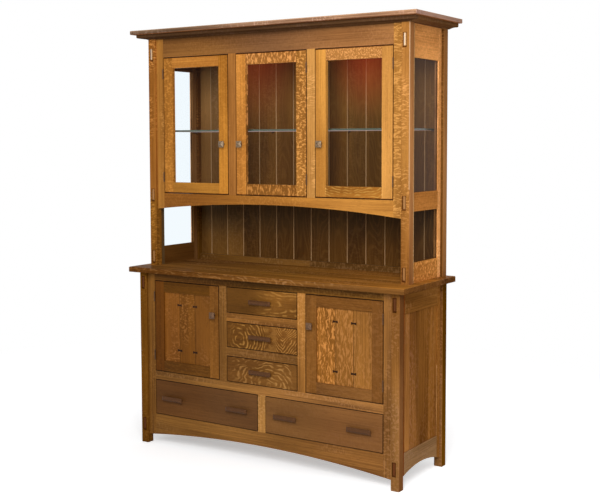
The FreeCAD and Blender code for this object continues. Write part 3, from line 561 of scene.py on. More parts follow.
def on_axis(axis, x, y, z):
    """The one of three values that belongs to an axis."""
    return {"x": x, "y": y, "z": z}[axis]


def in_turn(*changes):
    """Changes of colour made one after the other."""

    def shade(finish, body, x, y, z):
        for change in changes:
            body = change(finish, body, x, y, z)
        return body

    return shade


def along_board(key, axis, places):
    """Multiplies the colour by a piece's tones, each at its place along an axis, with
    smooth changes from one to the next."""

    def change(finish, body, x, y, z):
        value = on_axis(axis, x, y, z)
        tone = tint(key)
        for number in range(1, len(places)):
            share = finish.between(value, places[number - 1], places[number])
            tone = finish.mix_colour(share, tone, tint(key, number))
        return finish.mix_colour(1.0, body, tone, "MULTIPLY")

    return change


def by_board(key, axis, joints):
    """Multiplies the colour by a piece's tones, which change at joints along an axis."""

    def change(finish, body, x, y, z):
        value = on_axis(axis, x, y, z)
        tone = tint(key)
        for number, joint in enumerate(joints, 1):
            tone = finish.mix_colour(value > joint, tone, tint(key, number))
        return finish.mix_colour(1.0, body, tone, "MULTIPLY")

    return change


def toned(key):
    """Multiplies the colour by a piece's first tone."""

    def change(finish, body, x, y, z):
        return finish.mix_colour(1.0, body, tint(key), "MULTIPLY")

    return change


EVERYWHERE = 9.0


def up_to(place):
    """A span that ends at a place."""
    return (-EVERYWHERE, place)


def beyond(place):
    """A span that starts at a place."""
    return (place, EVERYWHERE)


def box_share(finish, amount, fade, spans, x, y, z):
    """An amount inside a box and 0 outside it. spans has the box's two ends on an axis;
    an axis that isn't in it isn't limited. fade is how soft the ends are."""
    for axis, (low, high) in spans.items():
        value = on_axis(axis, x, y, z)
        amount = amount * finish.between(value, low - fade, low + fade)
        amount = amount * finish.between(value, high + fade, high - fade)
    return amount


def in_box(change, fade=0.001, **spans):
    """Makes a change of colour inside a box, whose spans are given as x=(low, high)."""

    def within(finish, body, x, y, z):
        inside = box_share(finish, 1.0, fade, spans, x, y, z)
        return finish.mix_colour(inside, body, change(finish, body, x, y, z))

    return within


def tone_box(tone, fade=0.001, blend="MULTIPLY", amount=1.0, **spans):
    """Blends one tone into the colour inside a box."""

    def within(finish, body, x, y, z):
        inside = box_share(finish, amount, fade, spans, x, y, z)
        return finish.mix_colour(inside, body, tone, blend)

    return within


def thin_line(finish, body, away, tone, half):
    """Multiplies the colour by a tone where away, a distance, is less than half."""
    line = finish.between(away, half * 1.3, half * 0.7)
    return finish.mix_colour(line, body, tone, "MULTIPLY")


def at_lines(tone, axis, joints, half):
    """Multiplies the colour by a tone in thin lines, half wide on each side of joints."""

    def change(finish, body, x, y, z):
        value = on_axis(axis, x, y, z)
        away = finish.sum("ABSOLUTE", value - joints[0])
        for joint in joints[1:]:
            away = finish.sum("MINIMUM", away, finish.sum("ABSOLUTE", value - joint))
        return thin_line(finish, body, away, tone, half)

    return change


def at_rim(node, tone, half, axes="xz"):
    """Multiplies the colour by a tone along the outer edges of a node's box."""
    low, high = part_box(node)

    def change(finish, body, x, y, z):
        away = 1.0
        for axis in axes:
            value = on_axis(axis, x, y, z)
            away = finish.sum("MINIMUM", away, value - getattr(low, axis))
            away = finish.sum("MINIMUM", away, getattr(high, axis) - value)
        return thin_line(finish, body, away, tone, half)

    return change


def ovals(x_middle, z_middle, long):
    """A field of distances for curve_lines: its lines are ovals round a middle, long
    times as wide as they are high. With the middle off the board they are arcs."""

    def field(finish, x, z):
        across = (x - x_middle) / long
        up = z - z_middle
        return finish.sum("SQRT", across * across + up * up)

    return field


def valleys(x_middle, rise):
    """A field for curve_lines whose lines are V shapes that open upwards."""

    def field(finish, x, z):
        return z - finish.sum("ABSOLUTE", x - x_middle) * rise

    return field


def curve_lines(field, step, amount, pale, bend=0.06):
    """Draws the rings of a flat-cut board: pale lines one step apart in a field of
    distances. A slow noise bends them, by about a tenth of bend, and another makes each
    line stronger and fainter along its way."""

    def change(finish, body, x, y, z):
        near = finish.vector_sum("MULTIPLY", finish.place, (11.0, 1.0, 15.0))
        sway = (finish.noise(near, detail=2.0) - 0.5) * bend
        away = finish.sum("PINGPONG", field(finish, x, z) + sway, step / 2)
        line = finish.between(away, step * 0.20, step * 0.46)
        fine = finish.vector_sum("MULTIPLY", finish.place, (34.0, 1.0, 34.0))
        strength = finish.between(finish.noise(fine, detail=1.0), 0.36, 0.60)
        return finish.mix_colour(line * strength * amount, body, pale)

    return change


def grey(value):
    """A grey as a tone: it darkens every channel by the same factor."""
    return (value, value, value, 1.0)


# Painted shade in the gaps round doors and drawers, deeper at the top and bottom of the glass
# doors, and a painted shadow round the tenon ends.
GAP_SHADOW = (0.16, 0.12, 0.10, 1.0)
DEEP_GAP_SHADOW = (0.40, 0.30, 0.24, 1.0)
TENON_SHADOW = (0.30, 0.22, 0.17, 1.0)
print("pieces with tones", len(TONES))

# %% [markdown]
# ## The upper case
# The finish is a honey colour that the top coat has warmed to orange. The posts and the thin
# uprights between the doors run up; the frieze and the arched rail run across. The frieze is a
# calmer, browner board, with painted shade at its top under the crown. The right front post has a
# painted highlight, a pale line along its outer edge, and a painted shadow lies round the ends of
# the tenons that come through it.

# %% Upright and cross boards of the upper case
HONEY = colour(203, 137, 67)
HONEY_DARK = colour(139, 86, 35)
POSTS_LOW, POSTS_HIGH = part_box("upper_posts")
POST_WIDTH = 0.043
POST_EDGE = POSTS_HIGH.x
POST_FRONT = POSTS_LOW.y
REAR_POST = POSTS_HIGH.y - POST_WIDTH
TENON_APART = 0.2


def one_way(along, axis, joints):
    """Boards that all run one way, split at joints along one axis."""

    def boards(finish, x, y, z):
        value = on_axis(axis, x, y, z)
        return [(None, along, joints_before(value, joints))]

    return boards


def posts_all_round(finish, x, y, z):
    """Four corner posts: right ones count 1 more, and rear ones 2 more."""
    return [(None, "z", (x > 0.0) + (y > 0.0) * 2.0 + 10.0)]


def foremost(node, within):
    """The points of a node that lie within a distance of its very front."""
    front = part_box(node)[0].y
    points = [nodes[node].matrix_world @ vertex.co for vertex in nodes[node].data.vertices]
    return [point for point in points if point.y < front + within]


def tenon_ends(node):
    """The tenon ends at the very front of the right side frame, as their places in x and
    in z, read off the node's own mesh."""
    here = [point for point in foremost(node, 0.0004) if point.x > 0]
    heights = sorted(point.z for point in here)
    starts = [z for z, before in zip(heights, [-1.0] + heights) if z - before > TENON_APART]
    across = (min(point.x for point in here), max(point.x for point in here))
    return across, [(z, max(h for h in heights if h < z + TENON_APART)) for z in starts]


def tenon_shadows(frames, posts):
    """The painted shadow round the tenon ends on the fronts of the posts. It is thickest on the
    left of each and below it, away from the key lamp."""
    (left, right), heights = tenon_ends(frames)
    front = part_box(posts)[0].y
    changes = []
    for low, high in heights:
        for sides in ((left - 0.0095, right + 0.0055), (-right - 0.0095, -left + 0.0055)):
            changes.append(
                tone_box(
                    TENON_SHADOW,
                    fade=0.0006,
                    x=sides,
                    y=up_to(front + 0.002),
                    z=(low - 0.0105, high + 0.0055),
                )
            )
    return in_turn(*changes)


clad(
    ["upper_posts"],
    "upper_post_oak",
    posts_all_round,
    HONEY,
    HONEY_DARK,
    shade=in_turn(
        # Painted light and shade: the left post darker, and the right post's side faces lighter, as
        # the key lamp is on the right.
        in_box(along_board("upper_left_post", "z", [1.24, 1.32]), x=up_to(0.0)),
        in_box(
            along_board("upper_right_post", "z", [1.1, 1.5, 1.9]),
            x=(0.0, POST_EDGE - 0.001),
        ),
        in_box(
            by_board("upper_post_sides", "y", [0.0, REAR_POST + 0.022]),
            x=beyond(POST_EDGE - 0.001),
        ),
        # A painted highlight: a pale line along the outer front edge of the right post.
        tone_box(
            colour(214, 178, 142),
            fade=0.0008,
            blend="MIX",
            amount=0.55,
            x=beyond(POST_EDGE - 0.003),
            y=up_to(POST_FRONT + 0.004),
            z=beyond(1.35),
        ),
        tenon_shadows("upper_side_frames", "upper_posts"),
        # Painted shade on the rear posts' faces inside the case.
        tone_box(
            grey(0.4),
            x=(0.002 - POST_EDGE, POST_EDGE - 0.002),
            y=(0.0, POSTS_HIGH.y - 0.002),
        ),
    ),
    gloss=0.0,
    fleck=lambda finish, x, y, z: (x < POST_EDGE - 0.002)
    * (finish.between(z, 1.1, 1.3) * 0.35 + (x < 0.0) * 0.25 + 0.15),
    cover=0.5,
    stretch=RIB_STRETCH,
)
clad(
    ["upper_stiles"],
    "upper_stile_oak",
    one_way("z", "x", [-0.6, 0.0, 0.6]),
    HONEY,
    HONEY_DARK,
    shade=by_board("upper_stiles", "x", [-0.6, 0.0, 0.6]),
    fleck=0.4,
    cover=lambda finish, x, y, z: (x > 0.6) * 0.3 + 0.3,
    stretch=RIB_STRETCH,
)
CROWN_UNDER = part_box("crown_board")[0].z
clad(
    ["frieze_rail"],
    "frieze_oak",
    one_way("x", "z", [0.0]),
    colour(182, 120, 58),
    colour(122, 74, 32),
    shade=in_turn(
        along_board("frieze_rail", "x", [-0.45, 0.0, 0.45]),
        # Painted shade under the crown, at the top of the frieze.
        tone_box(grey(0.5), fade=0.022, z=beyond(CROWN_UNDER - 0.03)),
    ),
    fleck=0.1,
)
clad(
    ["upper_arched_rail"],
    "arched_rail_oak",
    one_way("x", "z", [0.5]),
    colour(206, 138, 58),
    colour(146, 90, 34),
    # Painted shade: the tones darken towards the left, away from the key lamp.
    shade=along_board("upper_arched_rail", "x", [-0.5, 0.0, 0.5]),
    fleck=0.15,
)
print("posts end at x", round(POST_EDGE, 4), "and start at y", round(POST_FRONT, 4))

# %% [markdown]
# ## Framed pieces
# A door is two stiles that run up with rails between them, so both directions meet in one node. The
# joints are where the stiles' inner edges are, and a point outside them is on a stile. The same
# idea does the side frames, whose stiles stand front and back, and there the ends of the rails'
# tenons come through the front post: end grain, which has taken the finish lighter, with a painted
# highlight on the upper ones where they catch the light. The side frames' inner faces have painted
# shade.

# %% Doors and side frames
STILE_WIDTH = 0.058
RUSSET = colour(146, 96, 44)
RUSSET_DARK = colour(92, 56, 22)
PALE_WAVE = colour(250, 200, 124)


def door_masks(node):
    """For a door, from the box of its node, a function that gives three masks: on a
    stile, right of the middle, and above the middle."""
    low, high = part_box(node)
    middle = (low.x + high.x) / 2
    half = (high.x - low.x) / 2 - STILE_WIDTH
    height = (low.z + high.z) / 2

    def masks(finish, x, z):
        return finish.sum("ABSOLUTE", x - middle) > half, x > middle, z > height

    return masks


def door_boards(node, first_number):
    """The members of a door."""
    masks = door_masks(node)

    def boards(finish, x, y, z):
        on_stile, right, above = masks(finish, x, z)
        return [(None, "x", above + first_number), (on_stile, "z", right + (first_number + 2))]

    return boards


def by_member(node, left, right, low, high):
    """A strength for each member of a door."""
    masks = door_masks(node)

    def choose(finish, x, y, z):
        on_stile, on_right, above = masks(finish, x, z)
        stile = finish.mix_value(on_right, left, right)
        return finish.mix_value(on_stile, finish.mix_value(above, low, high), stile)

    return choose


def member_tones(node):
    """Multiplies the colour of each member of a door by its tone."""
    masks = door_masks(node)

    def change(finish, body, x, y, z):
        on_stile, on_right, above = masks(finish, x, z)
        stile = finish.mix_colour(on_right, tint(node, 0), tint(node, 1))
        rail = finish.mix_colour(above, tint(node, 2), tint(node, 3))
        tone = finish.mix_colour(on_stile, rail, stile)
        return finish.mix_colour(1.0, body, tone, "MULTIPLY")

    return change


def rails_and_stiles(node, rails):
    """Stretches the flecks of a door in one way on the rails, and as usual on the
    stiles."""
    masks = door_masks(node)

    def choose(finish, x, y, z):
        return finish.mix_vector(masks(finish, x, z)[0], rails, FLECK_STRETCH)

    return choose


DOORS = {
    "left_glass_door_frame": (31, (0.35, 0.1, 0.05, 0.05), FLECK_STRETCH),
    "middle_glass_door_frame": (37, (0.15, 0.6, 0.95, 0.95), STROKE_STRETCH),
    "right_glass_door_frame": (43, (0.03, 0.05, 0.0, 0.55), FINE_STRETCH),
    "left_cupboard_door_frame": (52, (0.1, 0.1, 0.12, 0.1), FLAME_STRETCH),
    "right_cupboard_door_frame": (58, (0.15, 0.2, 0.1, 0.1), FLAME_STRETCH),
}
for door, (number, flecks, stretch) in DOORS.items():
    light, dark = (HONEY, HONEY_DARK) if "glass" in door else (RUSSET, RUSSET_DARK)
    # Painted shade along the gaps round each door, deeper at the top and bottom of the glass doors.
    changes = [member_tones(door), at_rim(door, GAP_SHADOW, 0.0024)]
    if "glass" in door:
        changes.append(at_rim(door, DEEP_GAP_SHADOW, 0.0042, "z"))
    if door == "right_glass_door_frame":
        middle, low = (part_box(door)[0].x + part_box(door)[1].x) / 2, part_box(door)[0].z
        waves = curve_lines(ovals(middle - 0.02, low + 0.12, 2.2), 0.013, 0.5, PALE_WAVE)
        low_rail = {"x": (middle - 0.15, middle + 0.15), "z": (low, low + 0.055)}
        changes.insert(0, in_box(waves, fade=0.004, **low_rail))
    clad(
        [door],
        door.replace("frame", "oak"),
        door_boards(door, number),
        light,
        dark,
        shade=in_turn(*changes),
        fleck=by_member(door, *flecks),
        cover=0.75,
        stretch=rails_and_stiles(door, stretch),
    )

UPPER_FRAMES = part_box("upper_side_frames")
BASE_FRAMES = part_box("base_side_frames")
UPPER_SIDE_EDGES = (-0.0985, -0.0685, UPPER_FRAMES[1].y - 0.030)
BASE_SIDE_EDGES = (-0.185, -0.155, BASE_FRAMES[1].y - 0.030)


def side_boards(edges, joints, first_number):
    """The side frames: front tenons, front stile, rails and rear stile. edges are where
    the front stile starts and ends and where the rear one starts."""
    tenon_end, front_edge, rear_edge = edges

    def boards(finish, x, y, z):
        on_stile = (y > rear_edge) + (y > tenon_end) * (y < front_edge)
        side = (x > 0.0) * 20.0
        return [
            (None, "y", joints_before(z, joints) + side + first_number),
            (on_stile, "z", (y > 0.0) + side + (first_number + 10)),
        ]

    return boards


def side_tones(rails, stiles, edges, joints):
    """The tones of a side frame's rails and stiles. edges are the stiles' inner edges."""
    front_edge, rear_edge = edges
    return in_turn(
        in_box(by_board(rails, "z", joints), y=(front_edge, rear_edge)),
        in_box(by_board(stiles, "y", [0.0]), y=up_to(front_edge)),
        in_box(by_board(stiles, "y", [0.0]), y=beyond(rear_edge)),
    )


TENON_FRONT = UPPER_FRAMES[0].y
SIDE_FACE = UPPER_FRAMES[1].x
INNER_FACE = 0.004
clad(
    ["upper_side_frames"],
    "upper_side_oak",
    side_boards(UPPER_SIDE_EDGES, [1.1, 1.5], 70),
    HONEY,
    HONEY_DARK,
    shade=in_turn(
        side_tones("upper_side_rails", "upper_side_stiles", UPPER_SIDE_EDGES[1:], [1.1, 1.5]),
        # The upper tenon ends: end grain taken lighter, with a painted highlight where it catches
        # the light.
        tone_box(
            colour(206, 184, 160),
            fade=0.0006,
            blend="MIX",
            amount=0.9,
            y=up_to(TENON_FRONT + 0.0007),
            z=beyond(1.6),
        ),
        tone_box(
            colour(150, 104, 60),
            fade=0.0006,
            blend="MIX",
            amount=0.9,
            y=up_to(TENON_FRONT + 0.0045),
            z=up_to(1.6),
        ),
        # Painted shade on the side frames' inner faces, inside the case.
        tone_box(
            grey(0.22),
            x=(INNER_FACE - SIDE_FACE, SIDE_FACE - INNER_FACE),
            y=beyond(BASE_FRAMES[0].y / 2),
        ),
    ),
    gloss=0.0,
    fleck=lambda finish, x, y, z: (finish.sum("ABSOLUTE", x) > SIDE_FACE - INNER_FACE)
    * ((z < 1.1) * 0.25 + 0.12),
    cover=0.6,
)
clad(
    ["base_side_frames"],
    "base_side_oak",
    side_boards(BASE_SIDE_EDGES, [0.5], 90),
    RUSSET,
    RUSSET_DARK,
    shade=in_turn(
        side_tones("base_side_rails", "base_side_stiles", BASE_SIDE_EDGES[1:], [0.5]),
        tone_box(
            colour(84, 54, 32),
            fade=0.0006,
            blend="MIX",
            amount=0.8,
            y=up_to(BASE_FRAMES[0].y + 0.0045),
        ),
    ),
    gloss=0.0,
    fleck=0.2,
)
print("doors", len(DOORS))

# %% [markdown]
# ## The back of the upper case
# Upright boards with bevelled edges close the back. The bevels show as thin pale lines: bare of
# glaze, with a painted highlight where they catch the light. The reddish glow of two small lamps in
# the top is painted light, a colour that the boards give off, and the boards below the cabinet's
# floor have painted shade.

# %% Back boards
BACK_BOARD_WIDTH = 0.1075
BACK_JOINTS = [BACK_BOARD_WIDTH * number for number in range(-6, 7)]
UPPER_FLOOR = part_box("upper_floor")[0].z
GLOW = colour(255, 90, 44)


def glow(middle, height, reach, strength):
    """How strongly one lamp lights a place on the boards: a round patch, soft to its
    rim, a little taller than it is wide."""

    def choose(finish, x, z):
        sideways = (x - middle) / reach
        upright = (z - height) / (reach * 1.25)
        away = finish.sum("SQRT", sideways * sideways + upright * upright)
        return finish.between(away, 1.0, 0.0) * strength

    return choose


def glow_pair(finish, x, y, z):
    """The light of both lamps, as a colour that the boards give off."""
    left = glow(-0.33, 1.98, 0.31, 0.10)(finish, x, z)
    right = glow(0.33, 1.95, 0.25, 0.175)(finish, x, z)
    front = y < BOARDS_FRONT + 0.005
    return finish.mix_colour((left + right) * front, (0.0, 0.0, 0.0, 1.0), GLOW)


def pale_bevels(finish, body, x, y, z):
    """The pale bevels, at whole multiples of the boards' width: bare wood with a painted highlight.
    """
    away = finish.sum("PINGPONG", x, BACK_BOARD_WIDTH / 2)
    line = finish.between(away, 0.0030, 0.0016)
    return finish.mix_colour(line * 0.9, body, colour(172, 138, 98))


def back_seams(finish, body, x, y, z):
    """The thin dark seams between the boards on the case's back."""
    seam = finish.between(finish.sum("PINGPONG", x, BACK_BOARD_WIDTH / 2), 0.0014, 0.0006)
    return finish.mix_colour(seam, body, grey(0.35), "MULTIPLY")


def ring_lines(finish, body, x, y, z):
    """Faint tall rings on the boards, which are cut flat: contour lines of a smooth
    noise that is stretched upwards, and is another one on each board."""
    board = finish.sum("FLOOR", x / BACK_BOARD_WIDTH)
    shift = finish.vector(board * 3.7, 0.0, 0.0)
    stretched = finish.vector_sum("MULTIPLY", finish.place, (11.0, 1.0, 2.4))
    tree = finish.noise(finish.vector_sum("ADD", stretched, shift), detail=1.0)
    line = finish.between(finish.sum("SINE", tree * 90.0), 0.1, 1.0)
    return finish.mix_colour(line * 0.07, body, colour(168, 120, 64))


clad(
    ["upper_back_rail"],
    "back_rail_oak",
    one_way("x", "x", [0.0]),
    colour(128, 82, 32),
    colour(80, 48, 16),
    shade=toned("niche_rail"),
    fleck=0.3,
    cover=0.55,
)
BOARDS_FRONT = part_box("upper_back_boards")[0].y
# Painted light and shade on the boards' fronts: the niche below the cabinet's floor is painted
# dark, the cabinet's boards darker low down, the left ends lighter and the upper right darker.
BOARD_FRONTS = [
    in_box(along_board("niche_boards", "z", [1.02, 1.19]), z=(0.0, UPPER_FLOOR)),
    in_box(along_board("back_boards", "z", [1.5, 1.8]), z=beyond(UPPER_FLOOR)),
    tone_box(tint("niche_left"), fade=0.10, x=up_to(-0.45), z=(0.0, 1.12)),
    tone_box(tint("back_left"), fade=0.03, x=up_to(-0.55), z=beyond(1.2)),
    tone_box(tint("back_right"), fade=0.05, x=beyond(0.2), z=beyond(1.2)),
    ring_lines,
    pale_bevels,
]
clad(
    ["upper_back_boards"],
    "back_board_oak",
    one_way("z", "x", BACK_JOINTS),
    colour(142, 92, 36),
    colour(96, 58, 20),
    shade=in_turn(
        in_box(in_turn(*BOARD_FRONTS), y=up_to(BOARDS_FRONT + 0.005)),
        in_box(back_seams, y=beyond(BOARDS_FRONT + 0.005)),
    ),
    emit=glow_pair,
    fleck=0.15,
)
print("back boards", len(BACK_JOINTS) + 1)

# %% [markdown]
# ## The base
# The base has the same oak in darker, russet colours. SPLIT is a height in its middle rail. Below
# it the only stile between the outer ones is the mullion of the two wide drawers.

# %% Base boards
BASE_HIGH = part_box("base_posts")[1]
SPLIT = 0.36
MIDDLE_RAIL_TOP = 0.39
TOP_RAIL_UNDER = 0.8525
STILE_TONES = by_board("base_stiles", "x", [-0.6, 0.0, 0.6])
STILE_SPANS = [
    {"z": beyond(SPLIT)},
    {"x": beyond(0.5), "z": up_to(SPLIT)},
    {"x": up_to(-0.5), "z": up_to(SPLIT)},
]
clad(
    ["base_posts"],
    "base_post_oak",
    posts_all_round,
    colour(160, 104, 42),
    colour(104, 62, 20),
    shade=in_turn(
        # The left post is painted darker: painted shade, away from the key lamp on the right.
        in_box(toned("base_left_post"), x=up_to(0.0)),
        in_box(along_board("base_right_post", "z", [0.35, 0.55]), x=(0.0, BASE_HIGH.x - 0.001)),
        in_box(by_board("base_post_sides", "y", [0.0]), x=beyond(BASE_HIGH.x - 0.001)),
        tenon_shadows("base_side_frames", "base_posts"),
    ),
    gloss=0.0,
    fleck=lambda finish, x, y, z: (x < BASE_HIGH.x - 0.002) * 0.2,
    cover=0.5,
)
clad(
    ["base_stiles"],
    "base_stile_oak",
    one_way("z", "x", [-0.6, -0.1, 0.1, 0.6]),
    RUSSET,
    RUSSET_DARK,
    shade=in_turn(
        *(in_box(STILE_TONES, **spans) for spans in STILE_SPANS),
        in_box(toned("bottom_mullion"), x=(-0.1, 0.1), z=up_to(SPLIT)),
    ),
    streaks=1.4,
    fleck=0.2,
)
clad(
    ["base_rails"],
    "base_rail_oak",
    one_way("x", "z", [0.36, 0.52, 0.7, 0.86]),
    RUSSET,
    RUSSET_DARK,
    shade=in_turn(
        # The top rail is painted darker: painted shade under the counter's overhang.
        in_box(along_board("base_top_rail", "x", [-0.4, 0.0, 0.4]), z=beyond(TOP_RAIL_UNDER)),
        in_box(by_board("drawer_rails", "z", [0.6]), z=(MIDDLE_RAIL_TOP, TOP_RAIL_UNDER)),
        in_box(along_board("base_middle_rail", "x", [-0.4, 0.4]), z=up_to(MIDDLE_RAIL_TOP)),
    ),
    streaks=1.4,
    fleck=0.2,
)
clad(
    ["base_arched_rail"],
    "base_arch_oak",
    one_way("x", "z", [0.5]),
    RUSSET,
    RUSSET_DARK,
    shade=along_board("base_arched_rail", "x", [-0.5, 0.0, 0.5]),
    streaks=1.2,
    fleck=0.15,
)
SIDE_JOINTS = [-0.095, 0.0, 0.10]
clad(
    ["base_side_panels"],
    "base_side_panel_oak",
    one_way("z", "y", SIDE_JOINTS),
    colour(150, 98, 34),
    colour(98, 58, 14),
    shade=in_turn(
        along_board("base_side_panels", "y", [-0.10, 0.02, 0.14]),
        at_lines(grey(0.55), "y", SIDE_JOINTS, 0.001),
    ),
    gloss=0.0,
    streaks=1.5,
    fleck=0.14,
    stretch=FLAME_STRETCH,
)
CALM = 0.4
KEY_JOINTS = [0.4119, 0.5104]
PANEL_JOINTS = [-KEY_JOINTS[1], -KEY_JOINTS[0], 0.0] + KEY_JOINTS


def joints_of(side):
    """The two joints of one cupboard door's panel, from left to right."""
    return KEY_JOINTS if side == "right" else [-joint for joint in KEY_JOINTS[::-1]]


def panel_flecks(side, first):
    """The strength of the flecks: first on a panel's first board, CALM on the second and
    as much less again on the third."""

    def choose(finish, x, y, z):
        return first - joints_before(x, joints_of(side)) * (first - CALM)

    return choose


# The left panel is in darker colours and tones than the right one: painted shade on the left of the
# base.
for side, flecks, cover, stretch, light, dark in (
    ("left", 0.4, 0.4, FLECK_STRETCH, colour(166, 104, 40), colour(116, 68, 22)),
    ("right", 0.6, 0.6, LONG_STRETCH, colour(186, 118, 46), colour(116, 70, 24)),
):
    panel = side + "_cupboard_door_panel"
    clad(
        [panel],
        side + "_cupboard_panel_oak",
        one_way("z", "x", PANEL_JOINTS),
        light,
        dark,
        shade=in_turn(
            by_board(panel, "x", joints_of(side)),
            at_lines(grey(0.35), "x", joints_of(side), 0.0013),
        ),
        fleck=panel_flecks(side, flecks),
        cover=cover,
        stretch=stretch,
    )
clad(
    ["base_shelves", "upper_floor"],
    "shelf_oak", one_way("x", "y", [0.0]), RUSSET, RUSSET_DARK, fleck=0.1,
)
clad(
    ["base_partitions", "dust_panels"],
    "inside_oak", one_way("y", "z", [0.3]), RUSSET, RUSSET_DARK, fleck=0.1,
)
SKIN = 0.0015
COUNTER_LOW, COUNTER_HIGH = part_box("countertop")
clad(
    ["countertop"],
    "counter_oak",
    one_way("x", "y", [-0.16, -0.05, 0.06, 0.17]),
    colour(156, 100, 40),
    colour(100, 60, 22),
    shade=in_turn(
        in_box(
            curve_lines(ovals(-0.35, 0.885, 7.0), 0.011, 0.36, colour(200, 146, 86)),
            x=(-0.75, 0.45),
            y=up_to(COUNTER_LOW.y + SKIN),
        ),
        # Painted light and shade: the top is painted lighter to the right, and its front edge and
        # right end have tones of their own.
        in_box(
            along_board("counter_top", "x", [-0.5, 0.0, 0.5]),
            z=beyond(COUNTER_HIGH.z - SKIN),
        ),
        in_box(
            along_board("counter_edge", "x", [-0.55, 0.0, 0.55]),
            x=up_to(COUNTER_HIGH.x - SKIN),
            z=up_to(COUNTER_HIGH.z - SKIN),
        ),
        in_box(
            toned("counter_side"),
            x=beyond(COUNTER_HIGH.x - SKIN),
            z=up_to(COUNTER_HIGH.z - SKIN),
        ),
    ),
    coat=lambda finish, x, y, z: (z > COUNTER_HIGH.z - SKIN) * 0.12,
    gloss=0.0,
    streaks=1.6,
    fleck=0.3,
)
print("base done")

# %% [markdown]
# ## Flat-sawn drawer fronts
# The three narrow drawers are cut flat, and each shows its rings as nested curves. A
# tree's rings are surfaces one inside the other, and the saw cuts them in lines, like
# the lines of height on a map. So each front has a field, a value at every place, and a
# pale line wherever the field passes a whole step: ovals and valleys on the middle
# front, a tall arch on the lower one and a fan on the top one.

# %% Drawer fronts
PALE_RING = colour(196, 142, 76)


def middle_field(finish, x, z):
    """Ovals on the left and V shapes on the right."""
    left = ovals(-0.125, 0.606, 1.1)(finish, x, z)
    right = valleys(0.125, 1.2)(finish, x, z)
    return finish.mix_value(finish.between(x, 0.02, 0.09), left, right)


CENTRE_FRONTS = {
    "top_drawer_front": (ovals(-0.25, 0.79, 9.0), 0.012, 0.40, (-0.01, 0.30), 0.03),
    "middle_drawer_front": (middle_field, 0.017, 0.50, (-0.17, 0.30), 0.07),
    "lower_drawer_front": (ovals(0.045, 0.392, 1.9), 0.015, 0.55, (-0.17, 0.17), 0.08),
}
for front, (field, step, amount, (left, right), bend) in CENTRE_FRONTS.items():
    rings = curve_lines(field, step, amount, PALE_RING, bend)
    clad(
        [front],
        front.replace("front", "oak"),
        one_way("x", "z", [0.53, 0.71]),
        colour(134, 86, 35),
        colour(90, 54, 18),
        shade=in_turn(
            in_box(rings, fade=0.03, x=(left, right)),
            along_board(front, "x", [-0.10, 0.10]),
            # Painted shade in the gaps round the drawer front.
            at_rim(front, GAP_SHADOW, 0.0018),
        ),
        fleck=0.05,
    )
for front, light, dark, middle in (
    ("bottom_left_drawer_front", colour(112, 66, 30), colour(88, 50, 22), -0.34),
    ("bottom_right_drawer_front", colour(140, 86, 38), colour(112, 66, 28), 0.34),
):
    clad(
        [front],
        front.replace("front", "oak"),
        one_way("x", "x", [0.0]),
        light,
        dark,
        shade=in_turn(
            along_board(front, "x", [middle - 0.1, middle + 0.1]),
            # Painted shade in the gaps round the drawer front.
            at_rim(front, GAP_SHADOW, 0.0018),
        ),
        fleck=0.05,
    )
print("drawer fronts", len(CENTRE_FRONTS) + 2)

# %% [markdown]
# ## Crown
# The crown board overhangs all round but the back. Its front piece and its two returns
# meet in mitres, so a point belongs to a return where it is nearer to the side edge than
# to the front one. The cove moulding under it is mitred in the same way.

# %% Crown board and moulding


def mitred(node, return_width, first_number):
    """A front board and two returns with mitred corners, from the box of a node."""
    low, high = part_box(node)
    half = (high.x - low.x) / 2

    def boards(finish, x, y, z):
        from_side = half - finish.sum("ABSOLUTE", x)
        from_front = y - low.y
        on_return = (from_side < from_front) * (from_side < return_width)
        return [
            (None, "x", finish.sum("FLOOR", from_front / 0.16) + first_number),
            (on_return, "y", (x > 0.0) + (first_number + 6)),
        ]

    return boards


CROWN_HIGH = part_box("crown_board")[1]
clad(
    ["crown_board"],
    "crown_oak",
    mitred("crown_board", 0.11, 120),
    colour(162, 104, 60),
    colour(110, 66, 36),
    shade=in_turn(
        # Painted light: the front edge is painted lighter to the right, and the right end has a
        # tone of its own.
        in_box(
            along_board("crown_edge", "x", [-0.55, 0.0, 0.55]),
            x=up_to(CROWN_HIGH.x - SKIN),
            z=beyond(CROWN_UNDER + 0.001),
        ),
        in_box(
            toned("crown_side"),
            x=beyond(CROWN_HIGH.x - SKIN),
            z=beyond(CROWN_UNDER + 0.001),
        ),
        # A painted highlight, a pale line along the top edge.
        tone_box(
            colour(214, 172, 132),
            blend="MIX",
            amount=0.45,
            z=beyond(CROWN_HIGH.z - 0.0035),
        ),
    ),
    gloss=0.0,
    streaks=2.2,
    fleck=0.3,
)
clad(
    ["crown_moulding"],
    "moulding_oak",
    mitred("crown_moulding", 0.11, 130),
    colour(104, 64, 30),
    colour(66, 38, 16),
    shade=in_turn(
        toned("crown_moulding"),
        # Painted light: the right return is painted lighter where it faces the key lamp.
        in_box(
            toned("moulding_side"),
            fade=0.015,
            x=beyond(POST_EDGE),
            y=beyond(POST_FRONT - 0.01),
        ),
    ),
    gloss=0.0,
    fleck=0.1,
)
print("crown board ends at x", round(CROWN_HIGH.x, 4))

# %% [markdown]
# ## Maple, ply and walnut
# The drawer boxes are pale maple, the back of the base is plywood, and the butterfly
# keys that lock the panels' boards are walnut.

